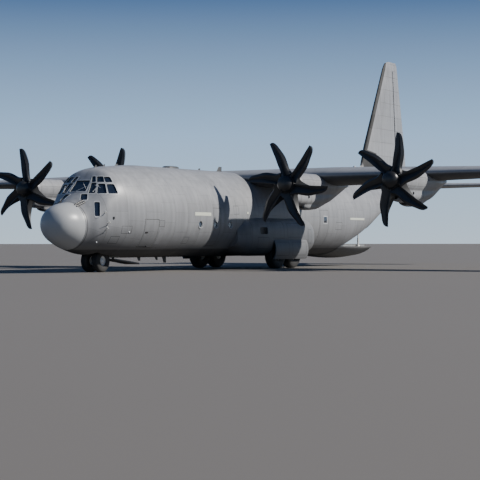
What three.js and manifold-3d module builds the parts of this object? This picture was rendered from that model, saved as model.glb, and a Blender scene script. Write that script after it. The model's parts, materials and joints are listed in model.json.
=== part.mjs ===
// Military transport plane with a high wing, four propellers and a rear loading ramp.
// Every size below is full size, in millimetres: X to the plane's left (port), Y aft of the nose
// tip, Z up from the ground. The whole plane spans over 40 m, so it is built as a 1:2 scale model.
import * as THREE from 'three';
import { mergeVertices } from 'three/addons/utils/BufferGeometryUtils.js';
import Module from 'manifold-3d';

const wasm = await Module();
wasm.setup();

// driving dimensions
const scale = 0.5;
const length = 34340;
const gap = 0.7; // between touching pieces
const play = 12; // around pieces that move
const hullSides = 24;
const wall = 150; // skin, frames and lining
const tailWall = 80; // skin and frames of the unlined aft fuselage

const radomeEnd = 1200;
const noseEnd = 5460;
const centreEnd = 18800;
const cavityStart = 1475;
const cavityEnd = 29210;
const tailCavity = { start: 29330, end: 33000, hatch: 350 };
const floor = { top: 1040, thick: 240, halfWidth: 1560, start: 5700 };
const deck = { top: 2300, thick: 90, start: 1900, end: 5330 };

const rampHinge = { y: 22530, z: 995, radius: 45 };
const ramp = { length: 3500, closedAngle: 20, rake: 18, lugs: [-1000, -300, 300, 1000], lugHalf: 30 };
const rearDoor = {
  hingeY: 29090, hingeZ: 3560, front: 25830, thick: 110, frontHalf: 1430, backHalf: 1200,
  openAngle: 29, arms: [-900, 900], armHalf: 40, lug: 45, radius: 45,
};

const wing = {
  leadY: 13450, rootChord: 4880, tipChord: 2480, joinX: 5590, tipX: 20205,
  planeZ: 4345, rise: 0.0035, rootThick: 0.18, tipThick: 0.12,
};
const engines = [
  // name, hub X, hub Z, direction that its blades point at rest, Y where the nacelle ends
  { name: 'port_outer', x: 10190, z: 3976, turn: 12, tail: 16480 },
  { name: 'port_inner', x: 4950, z: 3893, turn: 40, tail: 16700 },
  { name: 'starboard_inner', x: -4950, z: 3893, turn: 25, tail: 16700 },
  { name: 'starboard_outer', x: -10190, z: 3976, turn: 55, tail: 16480 },
];
const propeller = { y: 11040, radius: 2057, blades: 6, drumRadius: 400, drumLength: 380 };
const spinnerLength = 300;
const cowlY = 11250;

const mainWheel = { x: 2170, firstY: 14738, pitch: 1524, radius: 700, width: 500, rim: 270 };
const noseWheel = { x: 285, y: 3170, radius: 490, width: 330, rim: 200 };
const mainWell = { inner: 1640, outer: 2500, start: 13880, end: 17100, top: 2300 };
const noseWell = { halfWidth: 690, start: 2350, end: 3990, top: 1480 };
const gearDoor = { start: 13890, end: 17090, top: 1392, bottom: 450, x: 2590, bulge: 140, thick: 60 };

// fuselage sections: upper half and lower half are superellipses that meet at the waist
const hullColumns = ['y', 'half', 'crown', 'waist', 'keel', 'low', 'up'];
const hullTable = [
  [0, 30, 2080, 2050, 2020, 2, 2],
  [60, 330, 2360, 2040, 1720, 2, 2],
  [200, 580, 2580, 2020, 1470, 2, 2],
  [450, 780, 2750, 1990, 1270, 2, 2],
  [800, 920, 2870, 1960, 1110, 2, 2],
  [1200, 1000, 2930, 1930, 960, 2, 2],
  [1750, 1330, 3250, 2010, 850, 2.1, 2.2],
  [2200, 1530, 3680, 2120, 770, 2.2, 2.8],
  [2800, 1730, 4340, 2220, 690, 2.3, 2.6],
  [3400, 1890, 4490, 2310, 635, 2.35, 2.3],
  [4100, 2030, 4550, 2400, 605, 2.4, 2.1],
  [5000, 2130, 4620, 2470, 600, 2.5, 2],
  [5900, 2160, 4660, 2500, 600, 2.55, 2],
  [22500, 2160, 4660, 2500, 600, 2.55, 2],
  [24000, 2130, 4660, 2620, 930, 2.5, 2],
  [25900, 2000, 4660, 2950, 1700, 2.4, 2],
  [27500, 1800, 4660, 3300, 2430, 2.2, 2],
  [29400, 1480, 4680, 3750, 3250, 2, 2],
  [31000, 1120, 4720, 4100, 3780, 2, 2],
  [32800, 660, 4730, 4350, 4120, 2, 2],
  [34340, 140, 4560, 4450, 4320, 2, 2],
];
const hullStops = [
  0, 60, 200, 450, 800, 1200, 1475, 1750, 2200, 2500, 2800, 3400, 4100, 5000, 5900,
  22500, 24000, 25900, 27500, 29400, 31000, 32800, 34340,
];

// cockpit windows on the port side, mirrored to starboard: X of the four corners, Z of both edges
const windows = [
  { name: 'centre', low: [-390, 390], high: [-330, 330], z: [3400, 3850] },
  { name: 'front', low: [590, 850], high: [480, 700], z: [3330, 3740] },
  { name: 'quarter', low: [960, 1240], high: [810, 1040], z: [3310, 3690] },
  { name: 'side', low: [1320, 1490], high: [1130, 1300], z: [3310, 3670] },
  { name: 'brow_front', low: [450, 630], high: [370, 510], z: [3810, 4020] },
  { name: 'brow_quarter', low: [720, 970], high: [610, 820], z: [3800, 4010] },
  { name: 'brow_side', low: [1070, 1230], high: [900, 1050], z: [3790, 3990] },
  { name: 'chin', low: [450, 680], high: [310, 560], z: [3040, 3260] },
  { name: 'foot', low: [1170, 1290], high: [1000, 1170], z: [2370, 2910] },
];
const portholes = { y: [8130, 9400, 10670], z: 2060, radius: 150 };
const crewDoor = { start: 4000, end: 4915, bottom: 1060, top: 2250, pin: 25, pinX: 1650, pinZ: 1089, pinStart: 4560 };
const troopDoor = { start: 19350, end: 20280, bottom: 1060, top: 2910 };

// materials
const finish = (color, roughness = 0.5, metalness = 0) =>
  new THREE.MeshStandardMaterial({ color, roughness, metalness });
const paint = finish(0x8d9195, 0.45);
const radomePaint = finish(0x9a9da0, 0.4);
const darkPaint = finish(0x24262a, 0.4);
const bladePaint = finish(0x2b2d30, 0.45);
const rubber = finish(0x141414, 0.85);
const rimPaint = finish(0xc9cbc9, 0.4);
const legPaint = finish(0xd5d6d2, 0.4);
const glass = finish(0x18222c, 0.1);
const interior = finish(0x6f7468, 0.6);
const floorMetal = finish(0x7c7f80, 0.5, 0.6);

// solids from three.js geometry with their faces turned out, and back
const solidOf = (geometry) => {
  const bare = (geometry.index ? geometry.toNonIndexed() : geometry.clone());
  bare.deleteAttribute('normal');
  bare.deleteAttribute('uv');
  const merged = mergeVertices(bare, 1e-3);
  const spots = merged.attributes.position;
  const faces = new Uint32Array(merged.index.array);
  const corner = (i) => new THREE.Vector3().fromBufferAttribute(spots, i);
  let volume = 0;
  for (let i = 0; i < faces.length; i += 3) {
    volume += corner(faces[i]).dot(corner(faces[i + 1]).cross(corner(faces[i + 2])));
  }
  if (volume < 0) faces.reverse();
  return new wasm.Manifold(new wasm.Mesh({
    numProp: 3, vertProperties: new Float32Array(spots.array), triVerts: faces,
  }));
};
const geometryOf = (solid) => {
  const mesh = solid.getMesh();
  const geometry = new THREE.BufferGeometry();
  geometry.setAttribute('position', new THREE.BufferAttribute(new Float32Array(mesh.vertProperties), 3));
  geometry.setIndex(new THREE.BufferAttribute(new Uint32Array(mesh.triVerts), 1));
  return geometry;
};
const joined = (...solids) => solids.reduce((all, one) => all.add(one));
const moved = (solid, matrix) => solid.transform(matrix.elements);
const mirrored = (solid) => solid.scale([-1, 1, 1]);

// basic shapes
const block = (x0, x1, y0, y1, z0, z1) => {
  const box = new THREE.BoxGeometry(x1 - x0, y1 - y0, z1 - z0);
  box.translate((x0 + x1) / 2, (y0 + y1) / 2, (z0 + z1) / 2);
  return solidOf(box);
};
const rod = (from, to, radius, sides = 12, endRadius = radius) => {
  const start = new THREE.Vector3(...from);
  const run = new THREE.Vector3(...to).sub(start);
  const cylinder = new THREE.CylinderGeometry(endRadius, radius, run.length(), sides);
  cylinder.translate(0, run.length() / 2, 0);
  const turn = new THREE.Quaternion().setFromUnitVectors(new THREE.Vector3(0, 1, 0), run.normalize());
  cylinder.applyQuaternion(turn);
  cylinder.translate(start.x, start.y, start.z);
  return solidOf(cylinder);
};
// a profile of [distance along the axis, radius] spun about Y
const spun = (profile, sides) =>
  solidOf(new THREE.LatheGeometry(profile.map(([along, r]) => new THREE.Vector2(r, along)), sides));
// the same about X, turned so that a tyre stands on a flat facet
const tyreSides = 20;
const wheelSides = 10;
const wheelSpun = (profile, sides) => moved(spun(profile, sides),
  new THREE.Matrix4().makeRotationZ(-Math.PI / 2)
    .multiply(new THREE.Matrix4().makeRotationY(Math.PI / tyreSides)));
const axleHeight = (radius) => radius * Math.cos(Math.PI / tyreSides);
// an outline of [y, z] points drawn out along X
const slab = (outline, x0, x1) => {
  const shape = new THREE.Shape(outline.map(([y, z]) => new THREE.Vector2(y, z)));
  const sheet = new THREE.ExtrudeGeometry(shape, { depth: x1 - x0, bevelEnabled: false });
  const axes = new THREE.Matrix4().makeBasis(
    new THREE.Vector3(0, 1, 0), new THREE.Vector3(0, 0, 1), new THREE.Vector3(1, 0, 0));
  sheet.applyMatrix4(axes);
  sheet.translate(x0, 0, 0);
  return solidOf(sheet);
};
// rings with the same number of points, joined and capped
const loft = (rings) => {
  const count = rings[0].length;
  const middle = (ring) => [0, 1, 2].map((k) => ring.reduce((sum, p) => sum + p[k], 0) / count);
  const points = [...rings.flat(), middle(rings[0]), middle(rings.at(-1))];
  const first = points.length - 2;
  const faces = [];
  for (let i = 0; i < count; i += 1) {
    const next = (i + 1) % count;
    const last = (rings.length - 1) * count;
    faces.push([first, next, i], [first + 1, last + i, last + next]);
    for (let r = 0; r < last; r += count) {
      faces.push([r + i, r + next, r + count + next], [r + i, r + count + next, r + count + i]);
    }
  }
  const geometry = new THREE.BufferGeometry();
  geometry.setAttribute('position', new THREE.Float32BufferAttribute(points.flat(), 3));
  geometry.setIndex(faces.flat());
  return solidOf(geometry);
};
const mix = (a, b, t) => a + (b - a) * t;
const power = (value, exponent) => Math.sign(value) * Math.abs(value) ** exponent;

// smooth curve through one column of a table, with no overshoot between its rows
const smooth = (table, column, y) => {
  const last = table.length - 1;
  if (y <= table[0][0]) return table[0][column];
  if (y >= table[last][0]) return table[last][column];
  const i = table.findIndex((row, k) => k < last && y < table[k + 1][0]);
  const slope = (k) => (table[k + 1][column] - table[k][column]) / (table[k + 1][0] - table[k][0]);
  const tangent = (k) => {
    if (k === 0) return slope(0);
    if (k === last) return slope(last - 1);
    const [before, after] = [slope(k - 1), slope(k)];
    return before * after <= 0 ? 0 : (2 * before * after) / (before + after);
  };
  const run = table[i + 1][0] - table[i][0];
  const t = (y - table[i][0]) / run;
  return table[i][column] * (1 + 2 * t) * (1 - t) ** 2
    + table[i + 1][column] * t * t * (3 - 2 * t)
    + tangent(i) * run * t * (1 - t) ** 2
    - tangent(i + 1) * run * t * t * (1 - t);
};
const hullAt = (y) => Object.fromEntries(hullColumns.map((name, k) => [name, k ? smooth(hullTable, k, y) : y]));

// a ring of two half superellipses around a centre line at x
const oval = (x, y, s, sides, inset = 0) => Array.from({ length: sides }, (_, i) => {
  const angle = (2 * Math.PI * i) / sides;
  const [c, sn] = [Math.cos(angle), Math.sin(angle)];
  const exponent = 2 / (sn >= 0 ? s.up : s.low);
  const height = sn >= 0 ? s.crown - s.waist - inset : s.waist - s.keel - inset;
  return [x + power(c, exponent) * (s.half - inset), y, s.waist + power(sn, exponent) * height];
});
const hullLoft = (inset, from = 0, to = length) => {
  const stops = hullStops.filter((y) => y > from + 1 && y < to - 1);
  const ends = [Math.max(from, 0), Math.min(to, hullTable.at(-1)[0])];
  return loft([ends[0], ...stops, ends[1]].map((y) => oval(0, y, hullAt(y), hullSides, inset)));
};
// where the nose skin reaches a given half width at a given height
const skinY = (x, z) => {
  let [near, far] = [200, 5900];
  for (let i = 0; i < 40; i += 1) {
    const y = (near + far) / 2;
    const s = hullAt(y);
    const [rise, exponent] = z >= s.waist ? [s.crown - s.waist, s.up] : [s.waist - s.keel, s.low];
    const inside = Math.abs(x / s.half) ** exponent + Math.abs((z - s.waist) / rise) ** exponent < 1;
    if (inside) far = y;
    else near = y;
  }
  return far;
};

// a four-cornered plug through the skin at a window, larger all round by grow
const windowPlug = (w, side, grow, depth = 420) => {
  const corners = [[w.low[0], w.z[0]], [w.low[1], w.z[0]], [w.high[1], w.z[1]], [w.high[0], w.z[1]]]
    .map(([x, z]) => new THREE.Vector3(side * x, skinY(x, z), z));
  const centre = corners.reduce((sum, p) => sum.add(p), new THREE.Vector3()).divideScalar(4);
  const normal = corners[2].clone().sub(corners[0])
    .cross(corners[3].clone().sub(corners[1])).normalize();
  if (normal.y > 0) normal.negate();
  const ring = (offset) => corners.map((p) => {
    const out = p.clone().sub(centre);
    const flat = out.clone().addScaledVector(normal, -out.dot(normal));
    return p.clone().addScaledVector(flat.normalize(), grow * 1.4)
      .addScaledVector(normal, offset).toArray();
  });
  return loft([ring(-depth / 2), ring(depth / 2)]);
};
const windowPlugs = (grow) => windows.flatMap((w) => (w.name === 'centre'
  ? [windowPlug(w, 1, grow)] : [windowPlug(w, 1, grow), windowPlug(w, -1, grow)]));

// wing and tail sections: a symmetric aerofoil ring at one place along the span
const aerofoilSteps = [0, 0.015, 0.07, 0.2, 0.42, 0.74, 1];
const aerofoil = (leadY, chord, thick, place, grow = 0) => {
  const half = (t) => 5 * thick * chord
    * (0.2969 * Math.sqrt(t) - 0.126 * t - 0.3516 * t * t + 0.2843 * t ** 3 - 0.1015 * t ** 4);
  const blunt = 6; // half thickness of the trailing edge
  const at = (t, side) => place(
    leadY - grow + t * (chord + 2 * grow),
    side * (Math.max(half(t), t > 0.5 ? blunt : 0) + (t > 0 ? grow : 0)));
  return [
    ...aerofoilSteps.map((t) => at(t, 1)),
    ...aerofoilSteps.slice(1).reverse().map((t) => at(t, -1)),
  ];
};
// the space between the spars of a wing or fin, inside its skin
const boxSteps = [0.08, 0.2, 0.4, 0.6];
const sparBox = (leadY, chord, thick, end, place) => {
  const skin = 35;
  const half = (t) => 5 * thick * chord
    * (0.2969 * Math.sqrt(t) - 0.126 * t - 0.3516 * t * t + 0.2843 * t ** 3 - 0.1015 * t ** 4) - skin;
  const steps = boxSteps.map((t) => (t * end) / boxSteps.at(-1));
  return [
    ...steps.map((t) => place(leadY + t * chord, half(t))),
    ...steps.toReversed().map((t) => place(leadY + t * chord, -half(t))),
  ];
};
const wingAt = (x) => {
  const t = Math.max(0, (Math.abs(x) - wing.joinX) / (wing.tipX - wing.joinX));
  const chord = mix(wing.rootChord, wing.tipChord, t);
  return {
    chord,
    leadY: wing.leadY + (wing.rootChord - chord) / 4,
    thick: mix(wing.rootThick, wing.tipThick, t),
    z: wing.planeZ + wing.rise * Math.abs(x),
  };
};
const wingRing = (x, grow = 0) => {
  const s = wingAt(x);
  return aerofoil(s.leadY, s.chord, s.thick, (y, z) => [x, y, s.z + z], grow);
};
const wingSpan = (stops, grow = 0) => loft(stops.map((x) => wingRing(x, grow)));
const tipStops = [wing.joinX + gap, 12400, 18800, 19900, wing.tipX];
const outerWing = (grow = 0) => {
  const rings = tipStops.map((x) => wingRing(x, grow));
  const tip = wingAt(wing.tipX);
  rings[rings.length - 1] = aerofoil(
    tip.leadY + 500, tip.chord - 800, tip.thick * 0.45, (y, z) => [wing.tipX, y, tip.z + z], grow);
  return loft(rings);
};

// a control surface cut from a wing: its nose is round about the hinge, its lugs stay on the wing
const hinged = (base, start, end, radii, lugs) => {
  const along = new THREE.Vector3(...end).sub(new THREE.Vector3(...start));
  const span = along.length();
  const x = along.normalize();
  const y = new THREE.Vector3(0, 1, 0).addScaledVector(x, -x.y).normalize();
  const place = new THREE.Matrix4().makeBasis(x, y, x.clone().cross(y)).setPosition(...start);
  const local = (solid) => moved(solid, place);
  const reach = 4000;
  const widest = Math.max(...radii);
  const lug = { half: 15, radius: 40 };
  const cut = local(block(-play, span + play, -widest - play, reach, -reach, reach));
  const body = local(block(0, span, 0, reach, -reach, reach));
  const nose = local(rod([0, 0, 0], [span, 0, 0], radii[0], 16, radii[1]));
  let surface = joined(body, nose).intersect(base);
  let rest = base.subtract(cut);
  lugs.forEach((t) => {
    const at = t * span;
    const root = widest + play + 60;
    const plate = joined(
      block(at - lug.half, at + lug.half, -root, 0, -lug.radius, lug.radius),
      rod([at - lug.half, 0, 0], [at + lug.half, 0, 0], lug.radius, 16));
    const slot = block(at - lug.half - gap, at + lug.half + gap, -reach, lug.radius + play / 2, -reach, reach);
    surface = surface.subtract(local(slot));
    rest = rest.add(local(plate));
  });
  return { surface, rest };
};

// the parts tree
const plane = new THREE.Group();
plane.scale.setScalar(scale);
plane.position.set(0, (-length / 2) * scale, 0);
const put = (name, solid, material) => {
  const mesh = new THREE.Mesh(geometryOf(solid), material);
  mesh.name = name;
  plane.add(mesh);
};
const sides = [{ name: 'left', sign: 1 }, { name: 'right', sign: -1 }];
const onSide = (solid, sign) => (sign > 0 ? solid : mirrored(solid));

// wing with its flaps and ailerons
const hingeLine = (x, fraction) => {
  const s = wingAt(x);
  return [x, s.leadY + fraction * s.chord, s.z];
};
const noseRadius = (x, fraction) => {
  const s = wingAt(x);
  const t = fraction;
  return 5 * s.thick * s.chord
    * (0.2969 * Math.sqrt(t) - 0.126 * t - 0.3516 * t * t + 0.2843 * t ** 3 - 0.1015 * t ** 4);
};
const cutFromWing = (base, from, to, fraction) => hinged(
  base, hingeLine(from, fraction), hingeLine(to, fraction),
  [noseRadius(from, fraction), noseRadius(to, fraction)], [0.25, 0.75]);
const flapHinge = 0.74;
const aileronHinge = 0.75;
const flapSpans = { inner: [1950, 5540], outer: [5650, 12340], aileron: [12420, 19300] };

let centreWing = wingSpan([-wing.joinX, 0, wing.joinX]);
const innerFlap = cutFromWing(centreWing, ...flapSpans.inner, flapHinge);
const mirrorFlap = mirrored(cutFromWing(centreWing, ...flapSpans.inner, flapHinge).rest);
centreWing = innerFlap.rest.intersect(mirrorFlap.add(block(0, 9000, 9000, 21000, 0, 9000)))
  .add(mirrorFlap.intersect(block(-9000, 0, 9000, 21000, 0, 9000)));
put('center_wing', centreWing, paint);
const outerFlap = cutFromWing(outerWing(), ...flapSpans.outer, flapHinge);
const aileron = cutFromWing(outerFlap.rest, ...flapSpans.aileron, aileronHinge);
sides.forEach(({ name, sign }) => {
  put(`outer_wing_${name}`, onSide(aileron.rest, sign), paint);
  put(`inner_flap_${name}`, onSide(innerFlap.surface, sign), paint);
  put(`outer_flap_${name}`, onSide(outerFlap.surface, sign), paint);
  put(`aileron_${name}`, onSide(aileron.surface, sign), paint);
});

// tailplane, fin and their control surfaces
const tail = { z: 4480, halfSpan: 8025, rootLead: 29650, rootChord: 3500, tipLead: 31500, tipChord: 1500, thick: 0.12 };
const tailRing = (x, grow = 0) => {
  const t = Math.abs(x) / tail.halfSpan;
  const chord = mix(tail.rootChord, tail.tipChord, t);
  return aerofoil(mix(tail.rootLead, tail.tipLead, t), chord, tail.thick, (y, z) => [x, y, tail.z + z], grow);
};
const tailLoft = (grow = 0) => loft([-tail.halfSpan, 0, tail.halfSpan].map((x) => tailRing(x, grow)));
const elevatorHinge = 0.68;
const tailHinge = (x) => {
  const t = Math.abs(x) / tail.halfSpan;
  return [x, mix(tail.rootLead, tail.tipLead, t) + elevatorHinge * mix(tail.rootChord, tail.tipChord, t), tail.z];
};
const elevatorRadius = (x) => mix(tail.rootChord, tail.tipChord, Math.abs(x) / tail.halfSpan) * tail.thick * 0.33;
const elevatorSpan = [960, 7700];
const elevator = hinged(tailLoft(), tailHinge(elevatorSpan[0]), tailHinge(elevatorSpan[1]),
  elevatorSpan.map(elevatorRadius), [0.15, 0.8]);
const tailHalf = elevator.rest.intersect(block(0, 9000, 28000, 36000, 3000, 6000));
const tailBox = loft([-7400, 0, 7400].map((x) => {
  const t = Math.abs(x) / tail.halfSpan;
  return sparBox(mix(tail.rootLead, tail.tipLead, t), mix(tail.rootChord, tail.tipChord, t), tail.thick, 0.55,
    (y, z) => [x, y, tail.z + z]);
}));
const tailplane = tailHalf.add(mirrored(tailHalf)).subtract(tailBox)
  .subtract(block(-300, 300, 30500, 31100, 4000, tail.z));
put('tailplane', tailplane, paint);
sides.forEach(({ name, sign }) => put(`elevator_${name}`, onSide(elevator.surface, sign), paint));

const finStops = [
  // z, leading edge y, trailing edge y, thickness as a part of the chord
  { z: 4600, lead: 27900, trail: 34340, thick: 0.1 },
  { z: 6700, lead: 28720, trail: 34090, thick: 0.11 },
  { z: 11350, lead: 31080, trail: 33050, thick: 0.12 },
  { z: 11700, lead: 31330, trail: 32940, thick: 0.11 },
  { z: 11840, lead: 31750, trail: 32800, thick: 0.05 },
];
const finRing = (s) => aerofoil(s.lead, s.trail - s.lead, s.thick, (y, x) => [x, y, s.z]);
const finBlade = loft(finStops.map(finRing));
const dorsal = loft([
  oval(0, 25300, { half: 20, crown: 4660, waist: 4500, keel: 4400, up: 2, low: 2 }, 12),
  oval(0, 27000, { half: 130, crown: 4900, waist: 4500, keel: 4400, up: 1.6, low: 2 }, 12),
  oval(0, 28300, { half: 190, crown: 5650, waist: 4500, keel: 4400, up: 1.4, low: 2 }, 12),
  oval(0, 29000, { half: 200, crown: 6300, waist: 4500, keel: 4400, up: 1.4, low: 2 }, 12),
]);
const rudderLine = [[0, 32650, 4960], [0, 32310, 11300]];
const rudderRadii = [150, 62];
const rudder = hinged(finBlade, rudderLine[0], rudderLine[1], rudderRadii, [0.1, 0.5, 0.9]);
const finBox = loft([
  // z, leading edge, chord, part of the chord where the box ends
  [4600, 27900, 6440, 0.69], [6700, 28720, 5370, 0.67], [11000, 30900, 2250, 0.54],
].map(([z, lead, chord, end]) => sparBox(lead, chord, 0.11, end, (y, x) => [x, y, z])));

// fuselage
const hull = hullLoft(0);
const hullGrown = hullLoft(-gap);
const hold = hullLoft(wall, cavityStart, centreEnd + gap).add(hullLoft(tailWall, centreEnd, cavityEnd));
const cavity = hold.add(hullLoft(tailWall, tailCavity.start, tailCavity.end))
  .add(rod([0, cavityEnd - 10, 4050], [0, tailCavity.start + 10, 4050], tailCavity.hatch));
const wells = [1, -1].map((sign) => onSide(
  block(mainWell.inner, 2400, mainWell.start, mainWell.end, 0, mainWell.top), sign));
const wellWalls = [1, -1].map((sign) => onSide(
  block(mainWell.inner - 70, 2300, mainWell.start - 70, mainWell.end + 70, 400, mainWell.top + 70), sign));
const noseBay = block(-noseWell.halfWidth, noseWell.halfWidth, noseWell.start, noseWell.end, 0, noseWell.top);
const noseBayWalls = block(-noseWell.halfWidth - 60, noseWell.halfWidth + 60, noseWell.start - 60,
  noseWell.end + 60, 400, noseWell.top + 60);
const radians = THREE.MathUtils.degToRad;
const closed = radians(ramp.closedAngle);
const rampPoint = (along, up) => [
  rampHinge.y + along * Math.cos(closed) - up * Math.sin(closed),
  rampHinge.z + along * Math.sin(closed) + up * Math.cos(closed),
];
const rampTop = [rampPoint(0, rampHinge.radius), rampPoint(ramp.length, rampHinge.radius)];
const deep = 1500;
const rake = deep * Math.tan(radians(ramp.rake));
const rampArc = [1, 0.75, 0.5, 0.25, 0].map((share) => {
  const angle = closed * share;
  return [rampHinge.y + (ramp.length + 2 * play) * Math.cos(angle),
    rampHinge.z + (ramp.length + 2 * play) * Math.sin(angle) + rampHinge.radius + play];
});
const rampMouth = slab([[rampTop[0][0] - play - rake, floor.top - deep], [rampTop[0][0] - play, floor.top],
  [rampTop[0][0], rampTop[0][1] + play], ...rampArc, [rampArc.at(-1)[0], floor.top - deep]], -3000, 3000);
const rearHalf = (y) => mix(rearDoor.frontHalf, rearDoor.backHalf,
  (y - rearDoor.front) / (rearDoor.hingeY - rearDoor.front));
const rearPrism = (front, back, grow) => loft([front, back].map((y) => [
  [-rearHalf(y) - grow, y, 500], [rearHalf(y) + grow, y, 500],
  [rearHalf(y) + grow, y, rearDoor.hingeZ + 40], [-rearHalf(y) - grow, y, rearDoor.hingeZ + 40]]));
const rearMouth = rearPrism(rampTop[1][0] - 200, rearDoor.hingeY + 20, play);
const rearLugs = rearDoor.arms.map((x) => {
  const [from, to] = [x + rearDoor.armHalf + gap, x + rearDoor.armHalf + gap + rearDoor.lug];
  return joined(
    block(from, to, rearDoor.hingeY, cavityEnd + 30, rearDoor.hingeZ - rearDoor.radius,
      rearDoor.hingeZ + rearDoor.radius),
    rod([from, rearDoor.hingeY, rearDoor.hingeZ], [to, rearDoor.hingeY, rearDoor.hingeZ], rearDoor.radius));
});
const doorWindowCuts = portholes.y.flatMap((y) => [rod([-3000, y, portholes.z], [3000, y, portholes.z], portholes.radius)]);
const crewMouth = block(0, 3000, crewDoor.start, crewDoor.end, crewDoor.bottom, crewDoor.top);
const troopMouth = block(-3000, 3000, troopDoor.start, troopDoor.end, troopDoor.bottom, troopDoor.top);

let shell = hull.subtract(cavity);
shell = joined(shell, ...wellWalls.map((w) => w.intersect(hull)), noseBayWalls.intersect(hull));
[...wells, noseBay, rampMouth, rearMouth, ...doorWindowCuts, crewMouth, troopMouth, ...windowPlugs(0),
  wingSpan([-wing.joinX, 0, wing.joinX], gap), tailLoft(gap)].forEach((cut) => { shell = shell.subtract(cut); });
shell = joined(shell, ...rearLugs);
const section = (solid, from, to) => solid.intersect(block(-9000, 9000, from, to, -500, 13000));
put('radome', section(hull, 0, radomeEnd - gap), radomePaint);
put('nose_section', section(shell, radomeEnd, noseEnd - gap), paint);
put('center_fuselage', section(shell, noseEnd, centreEnd - gap), paint);
put('aft_fuselage', section(shell, centreEnd, length), paint);

// fin on the fuselage
const finBase = rudder.rest.add(dorsal).subtract(hullGrown).subtract(tailLoft(gap)).subtract(finBox);
put('fin', finBase, paint);
put('rudder', rudder.surface.subtract(hullLoft(-play)), paint);

// cockpit glass, joined by the frame behind it
const glassLayer = hullLoft(60, cavityStart, 5000).subtract(hullLoft(190, cavityStart, 5000));
const frameLayer = hullLoft(wall + gap, cavityStart, 5000).subtract(hullLoft(195, cavityStart, 5000));
const glassFrame = frameLayer.intersect(block(-1600, 1600, cavityStart + gap, 3300, 2320, 4140));
const panes = windowPlugs(-gap).reduce((all, plug) => all.add(plug.intersect(glassLayer)), glassFrame);
put('cockpit_glazing', panes, glass);

// flight deck: floor, bulkhead, instrument panel, pedestal and seats
const inside = hullLoft(wall + gap, cavityStart, 27500)
  .intersect(block(-3000, 3000, cavityStart + gap, 27500, 0, 5000));
const seat = (x, y) => joined(
  block(x - 240, x + 240, y, y + 480, deck.top + 330, deck.top + 450),
  block(x - 110, x + 110, y + 120, y + 360, deck.top, deck.top + 340),
  block(x - 240, x + 240, y + 460, y + 570, deck.top + 330, deck.top + 1150));
const deckSolid = joined(
  block(-2300, 2300, deck.start, deck.end, deck.top - deck.thick, deck.top),
  block(-2300, 2300, deck.end - 90, deck.end, deck.top - deck.thick, 4600),
  block(-950, 950, 2450, 2620, deck.top - 20, deck.top + 720),
  block(-160, 160, 2600, 3300, deck.top - 20, deck.top + 520),
  seat(560, 3050), seat(-560, 3050));
put('flight_deck', deckSolid.intersect(hullLoft(200, cavityStart, 28000))
  .subtract(block(-350, 350, deck.end - 200, deck.end + 10, deck.top + 20, deck.top + 1750))
  .add(deckSolid.intersect(inside).intersect(block(-2300, 2300, 3500, deck.end, deck.top - deck.thick, deck.top))),
interior);

// cargo floor
const floorEnd = rampHinge.y - 110;
const rampLug = (x) => joined(
  block(x - ramp.lugHalf, x + ramp.lugHalf, floorEnd - 100, rampHinge.y,
    rampHinge.z - rampHinge.radius, rampHinge.z + rampHinge.radius),
  rod([x - ramp.lugHalf, rampHinge.y, rampHinge.z], [x + ramp.lugHalf, rampHinge.y, rampHinge.z],
    rampHinge.radius, 16));
put('cargo_floor', joined(
  block(-floor.halfWidth, floor.halfWidth, floor.start, floorEnd, floor.top - floor.thick, floor.top)
    .intersect(inside),
  ...ramp.lugs.map(rampLug)), floorMetal);

// crew door, hinged along its bottom edge
const crewLeaf = hull.subtract(cavity).intersect(block(
  0, 3000, crewDoor.start + play, crewDoor.end - play, crewDoor.bottom + 2 * play, crewDoor.top - play));
const crewPin = joined(
  rod([crewDoor.pinX, crewDoor.pinStart, crewDoor.pinZ], [crewDoor.pinX, crewDoor.end - gap, crewDoor.pinZ], crewDoor.pin),
  block(crewDoor.pinX - 100, crewDoor.pinX, crewDoor.pinStart, crewDoor.end - play,
    crewDoor.pinZ - 5, crewDoor.pinZ + crewDoor.pin));
put('crew_door', crewLeaf.add(crewPin), paint);

// troop doors
const troopLeaf = hull.subtract(cavity).intersect(block(
  0, 3000, troopDoor.start + gap, troopDoor.end - gap, troopDoor.bottom + gap, troopDoor.top - gap));
sides.forEach(({ name, sign }) => put(`troop_door_${name}`, onSide(troopLeaf, sign), paint));

// cargo ramp, cut from the closed underside and lowered level about its hinge
const about = (y, z, degrees) => new THREE.Matrix4().makeTranslation(0, y, z)
  .multiply(new THREE.Matrix4().makeRotationX(radians(degrees)))
  .multiply(new THREE.Matrix4().makeTranslation(0, -y, -z));
const rampWedge = slab([[rampHinge.y + rake, floor.top - deep], rampTop[0], rampTop[1],
  [rampTop[1][0], floor.top - deep]], -3000, 3000);
const rampSlot = (x) => block(x - ramp.lugHalf - gap, x + ramp.lugHalf + gap,
  rampHinge.y - 300, rampHinge.y + rampHinge.radius + play, 0, 2000);
const rampSkin = 70;
const rampRoom = hullLoft(rampSkin).intersect(slab([
  [rampHinge.y + 350, floor.top - deep], rampPoint(350, rampHinge.radius - rampSkin),
  rampPoint(ramp.length - rampSkin, rampHinge.radius - rampSkin),
  [rampTop[1][0] - rampSkin, floor.top - deep]], -3000, 3000));
const rampLeaf = ramp.lugs.reduce((leaf, x) => leaf.subtract(rampSlot(x)), hull.intersect(rampWedge))
  .subtract(rampRoom)
  .subtract(block(-ramp.lugHalf * 4, ramp.lugHalf * 4, rampHinge.y, rampHinge.y + 400, 820, 900));
put('cargo_ramp', moved(rampLeaf, about(rampHinge.y, rampHinge.z, -ramp.closedAngle)), paint);

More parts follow.
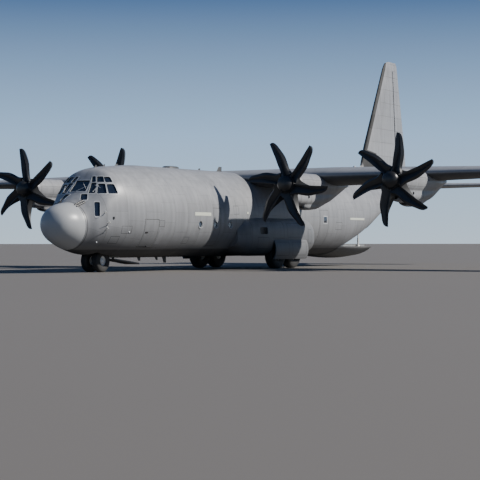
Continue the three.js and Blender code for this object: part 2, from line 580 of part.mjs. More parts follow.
// aft cargo door: the skin behind the ramp, lifted inside the tail about its rear edge
const rearSkin = hull.subtract(hullLoft(rearDoor.thick))
  .intersect(rearPrism(rearDoor.front, rearDoor.hingeY - 10, 0));
const rearArm = (x) => joined(
  block(x - rearDoor.armHalf, x + rearDoor.armHalf, rearDoor.hingeY - 160, rearDoor.hingeY - 12,
    2900, rearDoor.hingeZ + rearDoor.radius),
  block(x - rearDoor.armHalf, x + rearDoor.armHalf, rearDoor.hingeY - 20, rearDoor.hingeY,
    rearDoor.hingeZ - rearDoor.radius, rearDoor.hingeZ + rearDoor.radius),
  rod([x - rearDoor.armHalf, rearDoor.hingeY, rearDoor.hingeZ],
    [x + rearDoor.armHalf, rearDoor.hingeY, rearDoor.hingeZ], rearDoor.radius)).intersect(hull);
put('aft_cargo_door', moved(joined(rearSkin, ...rearDoor.arms.map(rearArm)),
  about(rearDoor.hingeY, rearDoor.hingeZ, -rearDoor.openAngle)), paint);

// main gear fairings with their wells
const fairingTable = [
  // y, outer x, top z, bottom z
  [11300, 2150, 2000, 1050],
  [12100, 2480, 2380, 700],
  [13300, 2600, 2470, 610],
  [17250, 2600, 2470, 610],
  [17950, 2500, 2360, 700],
  [18700, 2180, 2050, 950],
];
const fairingMid = 1500;
const fairingLoft = loft(fairingTable.map(([y, x, top, bottom]) => oval(fairingMid, y, {
  half: x - fairingMid, crown: top, waist: (top + bottom) / 2, keel: bottom, up: 3.4, low: 3 }, 24)));
const fairing = fairingLoft
  .subtract(block(mainWell.inner, mainWell.outer, mainWell.start, mainWell.end, 0, mainWell.top))
  .subtract(block(mainWell.inner, 4000, gearDoor.start, gearDoor.end, 0, gearDoor.top))
  .subtract(block(-4000, 1250, 9000, 21000, 0, 5000))
  .subtract(hullGrown);
const doorRadius = (((gearDoor.top - gearDoor.bottom) / 2) ** 2 + gearDoor.bulge ** 2) / (2 * gearDoor.bulge);
const doorArc = [];
const doorHalfAngle = Math.asin((gearDoor.top - gearDoor.bottom) / 2 / doorRadius);
const doorSteps = 8;
const doorPoint = (i, radius) => {
  const angle = mix(doorHalfAngle, -doorHalfAngle, i / doorSteps);
  return [gearDoor.x + gearDoor.bulge - doorRadius + radius * Math.cos(angle),
    (gearDoor.top + gearDoor.bottom) / 2 - gap + radius * Math.sin(angle)];
};
for (let i = 0; i <= doorSteps; i += 1) doorArc.push(doorPoint(i, doorRadius));
for (let i = doorSteps; i >= 0; i -= 1) doorArc.push(doorPoint(i, doorRadius - gearDoor.thick));
const doorShape = new THREE.ExtrudeGeometry(new THREE.Shape(doorArc.map((p) => new THREE.Vector2(...p))),
  { depth: gearDoor.end - gearDoor.start - 20, bevelEnabled: false });
doorShape.rotateX(Math.PI / 2);
doorShape.translate(0, gearDoor.end - 10, 0);
const doorSheet = solidOf(doorShape);
sides.forEach(({ name, sign }) => {
  put(`gear_fairing_${name}`, onSide(fairing, sign), paint);
  put(`main_gear_door_${name}`, onSide(doorSheet, sign), paint);
});

// wheels: a rim that turns on its axle, and a tyre
const tyreProfile = (r, width, rim) => [
  [-width * 0.36, rim + gap], [-width / 2, mix(rim, r, 0.45)], [-width * 0.44, r - width * 0.16],
  [-width * 0.22, r], [width * 0.22, r], [width * 0.44, r - width * 0.16],
  [width / 2, mix(rim, r, 0.45)], [width * 0.36, rim + gap], [-width * 0.36, rim + gap],
];
const rimProfile = (width, rim, bore) => [
  [-width * 0.4, bore], [-width * 0.4, rim * 0.45], [-width * 0.2, rim * 0.6], [-width * 0.3, rim],
  [width * 0.3, rim], [width * 0.2, rim * 0.6], [width * 0.4, rim * 0.45], [width * 0.4, bore],
  [-width * 0.4, bore],
];
const axle = { main: 75, nose: 45 };
const bore = (radius, around = wheelSides) => (radius + gap) / Math.cos(Math.PI / around);
const mainAxleZ = axleHeight(mainWheel.radius);
const noseAxleZ = axleHeight(noseWheel.radius);
const wheelNames = ['front', 'rear'];
sides.forEach(({ name, sign }) => {
  const x = sign * mainWheel.x;
  wheelNames.forEach((place, i) => {
    const y = mainWheel.firstY + i * mainWheel.pitch;
    const at = (solid) => solid.translate([x, y, mainAxleZ]);
    put(`main_wheel_${name}_${place}`,
      at(wheelSpun(rimProfile(mainWheel.width, mainWheel.rim, bore(axle.main)), wheelSides)), rimPaint);
    put(`main_tyre_${name}_${place}`,
      at(wheelSpun(tyreProfile(mainWheel.radius, mainWheel.width, mainWheel.rim), tyreSides)), rubber);
  });
});

// main gear legs: two struts on the well's inner wall, joined by a beam
const strutX = 1770;
const strut = (y) => joined(
  rod([strutX, y, mainAxleZ - 90], [strutX, y, 1300], 85, 8),
  rod([strutX, y, 1290], [strutX, y, 2240], 112, 8),
  rod([strutX - 60, y, mainAxleZ], [mainWheel.x + 210, y, mainAxleZ], axle.main),
  rod([strutX, y, mainAxleZ], [mainWheel.x - mainWheel.width * 0.4 - gap, y, mainAxleZ], 110, 8),
  block(mainWell.inner + gap, strutX, y - 90, y + 90, 1450, 1600),
  block(mainWell.inner + gap, strutX, y - 90, y + 90, 2050, 2200));
const mainLegs = joined(
  strut(mainWheel.firstY), strut(mainWheel.firstY + mainWheel.pitch),
  block(strutX - 60, strutX + 60, mainWheel.firstY, mainWheel.firstY + mainWheel.pitch, 1320, 1440));
sides.forEach(({ name, sign }) => put(`main_gear_legs_${name}`, onSide(mainLegs, sign), legPaint));

// nose gear: fixed leg, steered fork, and twin wheels on one axle
const legY = noseWheel.y;
const nosePiston = { radius: 58, sides: 24 };
const rimWidth = noseWheel.width * 0.9;
const noseHub = noseWheel.x - rimWidth * 0.4 - gap;
put('nose_gear_leg', joined(
  rod([0, legY, 900], [0, legY, noseWell.top - gap], 100),
  rod([-80, legY + 60, 1180], [-330, 3900, 1440], 35, 8),
  rod([80, legY + 60, 1180], [330, 3900, 1440], 35, 8),
  block(-380, 380, 3850, 3950, 1380, noseWell.top - gap),
).subtract(rod([0, legY, 800], [0, legY, 1300], bore(nosePiston.radius, nosePiston.sides), nosePiston.sides)), legPaint);
put('nose_gear_fork', joined(
  rod([0, legY, noseAxleZ], [0, legY, 1290], nosePiston.radius, nosePiston.sides),
  rod([-noseHub, legY, noseAxleZ], [noseHub, legY, noseAxleZ], 90),
).subtract(rod([-400, legY, noseAxleZ], [400, legY, noseAxleZ], bore(axle.nose))), legPaint);
const noseRim = (x) => wheelSpun(rimProfile(rimWidth, noseWheel.rim, 40), wheelSides)
  .translate([x, legY, noseAxleZ]);
put('nose_wheels', joined(
  noseRim(noseWheel.x), noseRim(-noseWheel.x),
  rod([-noseWheel.x - 100, legY, noseAxleZ], [noseWheel.x + 100, legY, noseAxleZ], axle.nose),
), rimPaint);
sides.forEach(({ name, sign }) => put(`nose_tyre_${name}`,
  wheelSpun(tyreProfile(noseWheel.radius, noseWheel.width, noseWheel.rim), tyreSides)
    .translate([sign * noseWheel.x, legY, noseAxleZ]), rubber));

// nose gear doors' rear leaf, open under the belly
const noseLeaf = { start: 4000, end: 5900, low: 300, half: 400, thick: 45 };
put('nose_gear_door', joined(
  slab([[noseLeaf.start, 560], [noseLeaf.start, 560 - noseLeaf.thick], [noseLeaf.end, noseLeaf.low],
    [noseLeaf.end, noseLeaf.low + noseLeaf.thick]], -noseLeaf.half, noseLeaf.half),
  block(-30, 30, noseLeaf.start + 60, noseLeaf.start + 160, 520, 640)).subtract(hullGrown), paint);

// engines: nacelle with its chin intake and oil cooler, spinner and propeller
const nacelleTable = {
  barrel: [
    // y, half width, crown, waist, keel, low, up, all from the hub's height
    [cowlY, 430, 430, 0, -430, 2, 2],
    [11500, 520, 510, 0, -560, 2, 2],
    [12300, 560, 545, 0, -620, 2, 2],
    [14500, 560, 545, 0, -560, 2, 2],
    [15900, 420, 400, 0, -120, 2, 2],
    [16700, 200, 300, 60, 0, 2, 2],
  ],
  chin: [
    [11330, 330, -250, -620, -900, 2, 2],
    [11600, 390, -200, -640, -960, 2, 2],
    [12600, 430, -150, -650, -990, 2, 2],
    [14200, 430, -100, -500, -880, 2, 2],
    [15600, 300, 0, -200, -420, 2, 2],
    [16500, 160, 200, 0, -60, 2, 2],
  ],
  cooler: [
    [12150, 260, -700, -900, -1080, 2.4, 2],
    [12600, 310, -650, -920, -1150, 2.4, 2],
    [13400, 300, -620, -880, -1110, 2.4, 2],
    [14300, 180, -600, -780, -900, 2.4, 2],
  ],
};
const [taperStart, taperEnd] = [14500, 16700];
const tapered = (y, tail) => (y < taperStart ? y : mix(taperStart, tail, (y - taperStart) / (taperEnd - taperStart)));
const tableLoft = (table, x, z, tail, count) => loft(table.map(([y, half, crown, waist, keel, low, up]) => oval(
  x, tapered(y, tail), { half, crown: z + crown, waist: z + waist, keel: z + keel, low, up }, count)));
const bladeSections = [
  // radius, chord, sweep, twist in degrees, thickness as a part of the chord
  [330, 240, 0, 58, 0.32],
  [620, 330, 20, 50, 0.16],
  [1150, 410, 40, 37, 0.1],
  [1800, 310, -60, 26, 0.06],
  [2057, 130, -170, 22, 0.06],
];
const blade = loft(bladeSections.map(([radius, chord, sweep, twist, thick]) => {
  const angle = radians(twist);
  const outline = [[-0.5, 0], [-0.25, 0.5], [0.15, 0.5], [0.5, 0], [0.15, -0.35], [-0.25, -0.35]];
  return outline.map(([u, v]) => {
    const [along, across] = [u * chord, v * thick * chord];
    return [sweep + along * Math.cos(angle) - across * Math.sin(angle),
      along * Math.sin(angle) + across * Math.cos(angle), radius];
  });
}));
const bladesAt = (turn) => Array.from({ length: propeller.blades }, (_, i) => {
  const angle = radians(turn) + (2 * Math.PI * i) / propeller.blades;
  return moved(blade, new THREE.Matrix4().makeRotationY(angle));
});
const wingCut = wingSpan([-9000, -wing.joinX, 0, wing.joinX, 9000], gap);
const outerCut = outerWing(gap);
engines.forEach(({ name, x, z, turn, tail: tailEnd }) => {
  const shape = joined(...['barrel', 'chin', 'cooler'].map((key) => tableLoft(nacelleTable[key], x, z, tailEnd, 14)),
    rod([x, cowlY + 10, z], [x, propeller.y + propeller.drumLength / 2 + gap, z], 150));
  const mouth = rod([x, 11000, z - 620], [x, 11750, z - 620], 215, 16);
  const coolerMouth = block(x - 190, x + 190, 12000, 12500, z - 1070, z - 995);
  const inner = Math.abs(x) < wing.joinX;
  const cut = inner ? wingCut : onSide(outerCut, Math.sign(x));
  put(`nacelle_${name}`, shape.subtract(mouth).subtract(coolerMouth).subtract(cut), paint);
  const drum = rod([0, -propeller.drumLength / 2, 0], [0, propeller.drumLength / 2, 0], propeller.drumRadius, 18);
  put(`propeller_${name}`, joined(drum, ...bladesAt(turn)).translate([x, propeller.y, z]), bladePaint);
  const nose = spun([[0, 0], [0, 398], [-130, 350], [-230, 240], [-spinnerLength, 0]], 18);
  put(`spinner_${name}`, nose.translate([x, propeller.y - propeller.drumLength / 2 - gap, z]), darkPaint);
});

export default plane;
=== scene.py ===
import json
import math

import bpy
import numpy as np
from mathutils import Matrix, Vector

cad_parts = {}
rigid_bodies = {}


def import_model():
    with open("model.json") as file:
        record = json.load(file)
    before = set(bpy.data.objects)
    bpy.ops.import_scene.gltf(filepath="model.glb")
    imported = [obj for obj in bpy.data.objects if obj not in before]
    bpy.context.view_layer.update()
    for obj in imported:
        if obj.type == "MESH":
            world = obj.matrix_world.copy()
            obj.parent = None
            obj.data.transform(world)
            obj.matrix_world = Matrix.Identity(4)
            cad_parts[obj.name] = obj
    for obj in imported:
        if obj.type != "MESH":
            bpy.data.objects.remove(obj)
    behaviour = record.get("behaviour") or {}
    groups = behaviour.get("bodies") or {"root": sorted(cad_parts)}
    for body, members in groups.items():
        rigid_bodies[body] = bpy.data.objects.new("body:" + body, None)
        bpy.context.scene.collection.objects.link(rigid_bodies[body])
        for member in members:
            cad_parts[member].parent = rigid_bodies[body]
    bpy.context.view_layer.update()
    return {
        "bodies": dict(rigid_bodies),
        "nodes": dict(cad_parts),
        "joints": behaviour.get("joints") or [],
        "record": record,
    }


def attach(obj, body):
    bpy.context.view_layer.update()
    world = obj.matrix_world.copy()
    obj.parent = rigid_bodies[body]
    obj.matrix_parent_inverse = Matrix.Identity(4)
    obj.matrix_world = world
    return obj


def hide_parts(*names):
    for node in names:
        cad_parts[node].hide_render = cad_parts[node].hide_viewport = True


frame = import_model()
print("stage: frame loaded")

# Every size is full size, in millimetres, as in the part's source: X to port, Y aft of the nose
# tip, Z up. The model is half that size, in metres, with its middle at the origin.
model = {"scale": 0.0005, "length": 34340, "gap": 0.7, "play": 12}
middle = np.array((0, model["length"] / 2, 0))
airframe = "airframe"
bothSides = [("left", 1), ("right", -1)]


# meshes from points

def toFrame(points):
    return (np.asarray(points, float) - middle) * model["scale"]


def addObject(name, mesh):
    piece = bpy.data.objects.new(name, mesh)
    bpy.context.scene.collection.objects.link(piece)
    return piece


def fromFrame(corners):
    return corners / model["scale"] + middle


def cornersOf(mesh):
    corners = np.zeros(len(mesh.vertices) * 3)
    mesh.vertices.foreach_get("co", corners)
    return corners.reshape(-1, 3)


def faceOut(mesh):
    mesh.calc_loop_triangles()
    corners = cornersOf(mesh)
    faces = np.zeros(len(mesh.loop_triangles) * 3, int)
    mesh.loop_triangles.foreach_get("vertices", faces)
    a, b, c = (corners[faces[k::3]] for k in range(3))
    if np.einsum("ij,ij->i", a, np.cross(b, c)).sum() < 0:
        mesh.flip_normals()


def solid(name, points, faces):
    mesh = bpy.data.meshes.new(name)
    mesh.from_pydata(toFrame(points).tolist(), [], [list(map(int, face)) for face in faces])
    faceOut(mesh)
    return addObject(name, mesh)


def loft(name, rings):
    # each ring joined to the next, with both ends closed
    rings = np.asarray(rings, float)
    count, size = rings.shape[:2]
    faces = []
    for r in range(count - 1):
        for i in range(size):
            j = (i + 1) % size
            faces.append((r * size + i, r * size + j, (r + 1) * size + j, (r + 1) * size + i))
    faces.append(tuple(range(size))[::-1])
    faces.append(tuple(range((count - 1) * size, count * size)))
    return solid(name, rings.reshape(-1, 3), faces)


def block(x0, x1, y0, y1, z0, z1):
    return loft("block", [[(x0, y, z0), (x1, y, z0), (x1, y, z1), (x0, y, z1)] for y in (y0, y1)])


def sideBlock(side, x0, x1, *rest):
    # a block on one side of the middle plane, with X measured outwards
    return block(*sorted((side * x0, side * x1)), *rest)


def blocksAt(origin, table):
    # blocks whose rows are x, x, y, y, z, z from the origin
    x, y, z = origin
    return [block(x + x0, x + x1, y + y0, y + y1, z + z0, z + z1) for x0, x1, y0, y1, z0, z1 in table]


def circleAbout(start, end, sides):
    # the direction from start to end, and a circle of radius 1 across it
    run = np.asarray(end, float) - np.asarray(start, float)
    along = run / np.linalg.norm(run)
    side = np.cross(along, (0, 0, 1) if abs(along[2]) < 0.9 else (1, 0, 0))
    side /= np.linalg.norm(side)
    angles = np.arange(sides) * 2 * math.pi / sides
    return along, np.cos(angles)[:, None] * side + np.sin(angles)[:, None] * np.cross(along, side)


def rod(start, end, radius, endRadius=None, sides=32):
    _, circle = circleAbout(start, end, sides)
    radii = (radius, radius if endRadius is None else endRadius)
    return loft("rod", [np.asarray(p, float) + circle * r for p, r in zip((start, end), radii)])


def lathe(name, profile, origin, axis, sides=48):
    # profile rows are distance along the axis and radius; a radius of 0 is drawn as a tiny ring
    along, circle = circleAbout(origin, np.asarray(origin, float) + axis, sides)
    return loft(name, [np.asarray(origin, float) + along * s + circle * max(r, 0.05) for s, r in profile])


def ringOf(name, rings):
    # rings joined each to the next and the last to the first
    rings = np.asarray(rings, float)
    count, size = rings.shape[:2]
    faces = []
    for k in range(count):
        a, b = k * size, ((k + 1) % count) * size
        faces += [(a + i, a + (i + 1) % size, b + (i + 1) % size, b + i) for i in range(size)]
    return solid(name, rings.reshape(-1, 3), faces)


def hoop(name, profile, origin, axis, sides=64):
    # a lathe whose profile is itself a closed outline, such as a tyre
    along, circle = circleAbout(origin, np.asarray(origin, float) + axis, sides)
    return ringOf(name, [np.asarray(origin, float) + along * s + circle * r for s, r in profile])


def slab(name, outline, x0, x1):
    return loft(name, [[(x, y, z) for y, z in outline] for x in (x0, x1)])


# mesh operations

def settle(piece):
    graph = bpy.context.evaluated_depsgraph_get()
    mesh = bpy.data.meshes.new_from_object(piece.evaluated_get(graph))
    old = piece.data
    piece.modifiers.clear()
    piece.data = mesh
    bpy.data.meshes.remove(old)
    return piece


def combine(base, others, how):
    for other in others:
        step = base.modifiers.new("combine", "BOOLEAN")
        step.object = other
        step.operation = how
        step.solver = "MANIFOLD"
    settle(base)
    for other in others:
        discard(other)
    return base


def carve(base, *cutters):
    return combine(base, cutters, "DIFFERENCE")


def unite(base, *others):
    return combine(base, others, "UNION")


def meet(base, *others):
    return combine(base, others, "INTERSECT")


def discard(piece):
    mesh = piece.data
    bpy.data.objects.remove(piece)
    bpy.data.meshes.remove(mesh)


def duplicate(piece, name):
    return addObject(name, piece.data.copy())


def gather(name, pieces):
    # one mesh from several that don't need to be united
    points, faces = [], []
    count = 0
    for piece in pieces:
        points.append(cornersOf(piece.data))
        faces += [[count + v for v in face.vertices] for face in piece.data.polygons]
        count += len(piece.data.vertices)
        discard(piece)
    mesh = bpy.data.meshes.new(name)
    mesh.from_pydata(np.vstack(points).tolist(), [], faces)
    return addObject(name, mesh)


def place(piece, matrix):
    # matrix is a 4 x 4 in full-size millimetres
    matrix = np.asarray(matrix, float)
    full = fromFrame(cornersOf(piece.data)) @ matrix[:3, :3].T + matrix[:3, 3]
    piece.data.vertices.foreach_set("co", toFrame(full).ravel())
    if np.linalg.det(matrix[:3, :3]) < 0:
        piece.data.flip_normals()
    piece.data.update()
    return piece


def mirrored(piece, name):
    return place(duplicate(piece, name), np.diag((-1, 1, 1, 1)))


def onSide(piece, sign, name):
    return duplicate(piece, name) if sign > 0 else mirrored(piece, name)


def shiftBy(x, y, z):
    matrix = np.eye(4)
    matrix[:3, 3] = (x, y, z)
    return matrix


def gatherSide(name, pieces, sign):
    # one side's copy of pieces that are made on the port side
    return gather(name, [onSide(piece, sign, "part") for piece in pieces])


def turnAbout(point, axis, degrees):
    x, y, z = np.asarray(axis, float) / np.linalg.norm(axis)
    c, s = math.cos(math.radians(degrees)), math.sin(math.radians(degrees))
    turn = np.eye(4)
    turn[:3, :3] = (np.array(((c, 0, 0), (0, c, 0), (0, 0, c))) + (1 - c) * np.outer((x, y, z), (x, y, z))
                    + s * np.array(((0, -z, y), (z, 0, -x), (-y, x, 0))))
    return shiftBy(*point) @ turn @ shiftBy(*(-np.asarray(point, float)))


def dress(piece, body, materials, replaces=(), slot=None, sharp=32, bevel=None):
    if bevel:
        edge = piece.modifiers.new("edge", "BEVEL")
        edge.width = bevel * model["scale"]
        edge.segments = 2
        edge.limit_method = "ANGLE"
        edge.angle_limit = math.radians(sharp)
        settle(piece)
    mesh = piece.data
    materials = materials if isinstance(materials, (list, tuple)) else [materials]
    kept = [face.material_index for face in mesh.polygons] if len(materials) > 1 else None
    mesh.materials.clear()
    for material in materials:
        mesh.materials.append(material)
    if kept:
        mesh.polygons.foreach_set("material_index", kept)
    mesh.polygons.foreach_set("use_smooth", [True] * len(mesh.polygons))
    mesh.set_sharp_from_angle(angle=math.radians(sharp))
    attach(piece, body)
    if replaces:
        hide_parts(*replaces)
    return piece


def fit(name, parts, finish, slot, body=airframe, **look):
    # several small parts as one piece that adds to the solids
    return dress(gather(name, parts), body, finish, slot=slot, **look)


# shader maths on sockets

class Value:
    def __init__(self, graph, socket):
        self.graph = graph
        self.socket = socket

    def maths(self, how, a, b=0.0, c=0.0):
        return self.graph.node("ShaderNodeMath", {"operation": how}, {0: a, 1: b, 2: c})

    def __add__(self, other):
        return self.maths("ADD", self, other)

    def __radd__(self, other):
        return self.maths("ADD", other, self)

    def __sub__(self, other):
        return self.maths("SUBTRACT", self, other)

    def __rsub__(self, other):
        return self.maths("SUBTRACT", other, self)

    def __mul__(self, other):
        return self.maths("MULTIPLY", self, other)

    def __rmul__(self, other):
        return self.maths("MULTIPLY", other, self)

    def __truediv__(self, other):
        return self.maths("DIVIDE", self, other)

    def size(self):
        return self.maths("ABSOLUTE", self)

    def floor(self):
        return self.maths("FLOOR", self)

    def root(self):
        return self.maths("SQRT", self)

    def fold(self, step):
        # goes up and down between 0 and step
        return self.maths("PINGPONG", self, step)

    def above(self, edge, soft=0.01):
        return self.graph.node("ShaderNodeMapRange", {"interpolation_type": "SMOOTHSTEP"}, {
            "Value": self, "From Min": edge - soft, "From Max": edge + soft})

    def below(self, edge, soft=0.01):
        return 1 - self.above(edge, soft)

    def between(self, low, high, soft=0.01):
        return self.above(low, soft) * self.below(high, soft)

    def stroke(self, at, width):
        return (self - at).size().below(width / 2, width / 4)

    def repeat(self, step, width):
        return self.fold(step / 2).below(width / 2, width / 4)

    def mostly(self, other):
        return self.maths("MAXIMUM", self, other)


class Graph:
    def __init__(self, name):
        self.material = bpy.data.materials.new(name)
        self.material.use_nodes = True
        self.tree = self.material.node_tree
        self.tree.nodes.clear()
        self.output = self.tree.nodes.new("ShaderNodeOutputMaterial")

    def node(self, kind, settings=None, inputs=None, output=0):
        made = self.tree.nodes.new(kind)
        for key, value in (settings or {}).items():
            setattr(made, key, value)
        for key, value in (inputs or {}).items():
            if isinstance(value, Value):
                self.tree.links.new(value.socket, made.inputs[key])
            else:
                made.inputs[key].default_value = value
        return Value(self, made.outputs[output])

    def spot(self):
        # full-size place in metres: to port, aft of the nose tip, up
        at = self.node("ShaderNodeTexCoord", output="Object")
        parts = [self.node("ShaderNodeSeparateXYZ", None, {0: at}, k) for k in range(3)]
        full = 0.001 / model["scale"]
        return parts[0] * full, parts[1] * full + model["length"] / 2000, parts[2] * full

    def vector(self, x, y, z):
        return self.node("ShaderNodeCombineXYZ", None, {0: x, 1: y, 2: z})

    def noise(self, vector, scale, detail):
        return self.node("ShaderNodeTexNoise", None, {
            "Vector": vector, "Scale": scale, "Detail": detail, "Roughness": 0.55})

    def cells(self, x, y):
        return self.node("ShaderNodeTexWhiteNoise", {"noise_dimensions": "2D"},
                         {"Vector": self.vector(x, y, 0.0)})

    def tint(self, color, factor):
        return self.node("ShaderNodeVectorMath", {"operation": "SCALE"}, {0: color, "Scale": factor})

    def mix(self, factor, a, b):
        made = self.tree.nodes.new("ShaderNodeMix")
        made.data_type = "RGBA"
        sockets = {"Factor_Float": factor, "A_Color": a, "B_Color": b}
        for socket in made.inputs:
            value = sockets.get(socket.identifier)
            if isinstance(value, Value):
                self.tree.links.new(value.socket, socket)
            elif value is not None:
                socket.default_value = value if socket.identifier == "Factor_Float" else (*value[:3], 1.0)
        return Value(self, next(s for s in made.outputs if s.identifier == "Result_Color"))

    def bump(self, height, depth):
        # depth in full-size millimetres for a height of 1
        return self.node("ShaderNodeBump", None, {"Height": height, "Distance": depth * model["scale"]})

    def surface(self, inputs):
        made = self.node("ShaderNodeBsdfPrincipled", None, inputs)
        self.tree.links.new(made.socket, self.output.inputs["Surface"])
        return self.material


# camera, from the place that fits the photograph

camera = {
    "place": (38616, -48667, 1270), "yaw": 31.22, "pitch": 0.08, "roll": 0.063, "lens": 113.5,
}


def makeCamera(look):
    data = bpy.data.cameras.new("camera")
    data.lens = look["lens"]
    data.sensor_width = 36
    data.clip_start = 0.5
    data.clip_end = 2000
    eye = bpy.data.objects.new("camera", data)
    bpy.context.scene.collection.objects.link(eye)
    eye.location = toFrame(look["place"])
    eye.rotation_mode = "XYZ"
    eye.rotation_euler = [math.radians(angle) for angle in (90 + look["pitch"], look["roll"], look["yaw"])]
    bpy.context.scene.camera = eye


makeCamera(camera)

# floor and light

studio = {
    "floorSize": 900, "floorColor": (0.13, 0.12, 0.11), "sunPower": 6.9, "sunSoftness": 1.2,
    "sunFrom": (1.35, 0.6, 1.08), "sunColor": (1.0, 0.96, 0.9), "skyPower": 1.0,
    # height and colour of each stop
    "sky": [(0.0, (0.62, 0.76, 0.9)), (0.07, (0.4, 0.62, 0.9)), (0.16, (0.09, 0.18, 0.38)),
            (1.0, (0.03, 0.065, 0.16))],
}


def makeSky(look):
    # pale near the horizon, deep blue overhead
    world = bpy.data.worlds.new("sky")
    world.use_nodes = True
    tree = world.node_tree
    at = tree.nodes.new("ShaderNodeTexCoord")
    split = tree.nodes.new("ShaderNodeSeparateXYZ")
    ramp = tree.nodes.new("ShaderNodeValToRGB")
    stops = ramp.color_ramp.elements
    for stop, (height, color) in zip([*stops, *[stops.new(1.0) for _ in look["sky"][2:]]], look["sky"]):
        stop.position = height
        stop.color = (*color, 1)
    tree.links.new(at.outputs["Generated"], split.inputs[0])
    tree.links.new(split.outputs["Z"], ramp.inputs["Fac"])
    tree.links.new(ramp.outputs["Color"], tree.nodes["Background"].inputs["Color"])
    tree.nodes["Background"].inputs["Strength"].default_value = look["skyPower"]
    bpy.context.scene.world = world


def makeStudio(look):
    half = look["floorSize"] / 2
    mesh = bpy.data.meshes.new("floor")
    corners = [(-half, -half, 0), (half, -half, 0), (half, half, 0), (-half, half, 0)]
    mesh.from_pydata(corners, [], [(0, 1, 2, 3)])
    ground = addObject("floor", mesh)
    graph = Graph("floor")
    at = graph.node("ShaderNodeTexCoord", output="Object")
    cloud = graph.noise(at, 0.12, 3.0)
    mesh.materials.append(graph.surface({
        "Base Color": graph.tint(look["floorColor"], 0.97 + 0.06 * cloud), "Roughness": 0.85}))
    sun = bpy.data.objects.new("sun", bpy.data.lights.new("sun", "SUN"))
    sun.data.energy = look["sunPower"]
    sun.data.angle = math.radians(look["sunSoftness"])
    sun.data.color = look["sunColor"]
    sun.rotation_euler = Vector(look["sunFrom"]).to_track_quat("Z", "Y").to_euler()
    bpy.context.scene.collection.objects.link(sun)
    makeSky(look)


makeStudio(studio)
print("stage: camera, floor and light made")

# paint and other finishes

panelPaint = {
    "color": (0.25, 0.256, 0.268), "roughness": 0.4, "panelTone": 0.08, "cloud": 0.3, "drip": 0.65,
    "flow": 0.12, "seamDark": 0.6, "seamDepth": 3.0, "rivetDepth": 1.2, "lowDirt": 0.42, "grain": 0.08,
    "marks": None, "markDark": 0.9,
}


def belly(x, y, z):
    # painted shade: the underside below 0.96 m is painted darker, as it lies in shade
    return z.below(0.96, 0.03) * 0.6


def paint(name, seams=None, **changes):
    # seams gives the lines, the rivets and two cell numbers for a place; marks gives darker areas: painted
    # shade under the belly and the wings, dark paint on the fin
    look = {**panelPaint, **changes}
    graph = Graph(name)
    x, y, z = graph.spot()
    at = graph.vector(x, y, z)
    cloud = graph.noise(at, 0.55, 5.0)
    drip = graph.noise(graph.vector(x * 2.5, y * 2.5, z * 0.22), 1.7, 5.0)
    flow = graph.noise(graph.vector(x * 3.0, y * 0.22, z * 3.0), 1.3, 5.0)
    grain = graph.noise(at, 45.0, 3.0)
    shade = 1.0 + (cloud - 0.5) * look["cloud"] + (drip - 0.5) * look["drip"] + (flow - 0.5) * look["flow"]
    shade = shade + (grain - 0.5) * look["grain"]
    # dirt low on the sides, and below about 2.3 m the paint grows darker towards the bottom, which is painted
    # shade as well as dirt
    dirt = z.below(1.3, 0.9) * (0.4 + 1.2 * (cloud * drip) * 2.0)
    shade = shade * (1.0 - dirt * look["lowDirt"]) * (1.0 - z.below(2.3, 1.3) * look["lowDirt"] * 0.9)
    dull = 0.0
    if look["marks"]:
        marks = look["marks"](x, y, z)
        shade = shade * (1.0 - marks * look["markDark"])
        dull = marks * 0.3
    height = grain * 0.12
    if seams:
        seam, rivet, cellA, cellB = seams(x, y, z)
        shade = shade + (graph.cells(cellA, cellB) - 0.5) * look["panelTone"]
        shade = shade * (1.0 - seam * look["seamDark"]) * (1.0 - rivet * 0.12)
        height = height - seam * look["seamDepth"] + rivet * look["rivetDepth"]
    return graph.surface({
        "Base Color": graph.tint(look["color"], shade),
        "Roughness": look["roughness"] + (cloud - 0.5) * 0.16 + dirt * 0.15 + dull,
        "Normal": graph.bump(height, 1.0),
        "Specular IOR Level": 0.4,
    })


def outline(y, z, y0, y1, z0, z1, width=0.022, corner=0.004):
    # the edge of a rectangle seen from the side, in full-size metres
    outer = y.between(y0, y1, corner) * z.between(z0, z1, corner)
    return outer - y.between(y0 + width, y1 - width, corner) * z.between(z0 + width, z1 - width, corner)


# doors, hatches and access panels drawn as seams: side, first y, last y, low z, high z, in metres
hullPanels = [
    (1, 9.16, 9.81, 1.10, 2.82), (1, 4.93, 5.31, 1.92, 2.20), (1, 4.0, 4.915, 1.06, 2.25),
    (1, 19.35, 20.28, 1.06, 2.91), (-1, 19.35, 20.28, 1.06, 2.91), (-1, 9.16, 9.81, 1.10, 2.82),
    (1, 2.30, 2.75, 1.20, 1.52), (1, 2.75, 3.30, 1.62, 1.95), (1, 7.00, 7.45, 1.20, 1.50),
    (-1, 2.40, 3.10, 1.30, 1.75), (-1, 5.60, 6.30, 1.25, 1.80), (1, 21.10, 21.80, 1.9, 2.3),
    (1, 10.95, 11.40, 2.55, 2.95), (-1, 12.0, 12.7, 2.6, 3.0),
]


def dots(along, across, radius=0.012):
    # round rivet heads, from the distance along their row and across it
    return (along * along + across * across).root().below(radius, 0.003)


def strokes(value, places, width):
    # lines at several places along one value
    lines = value.stroke(places[0], width)
    for at in places[1:]:
        lines = lines.mostly(value.stroke(at, width))
    return lines


frames = {
    "pitch": 1.016, "sheet": 0.82, "axis": 2.55, "reach": 2.1, "seam": 0.016, "ringDark": 0.5,
    "stripDark": 0.35, "radomeSeam": (1.27, 0.035), "rivetStep": 0.05, "rivetRow": 0.03,
}


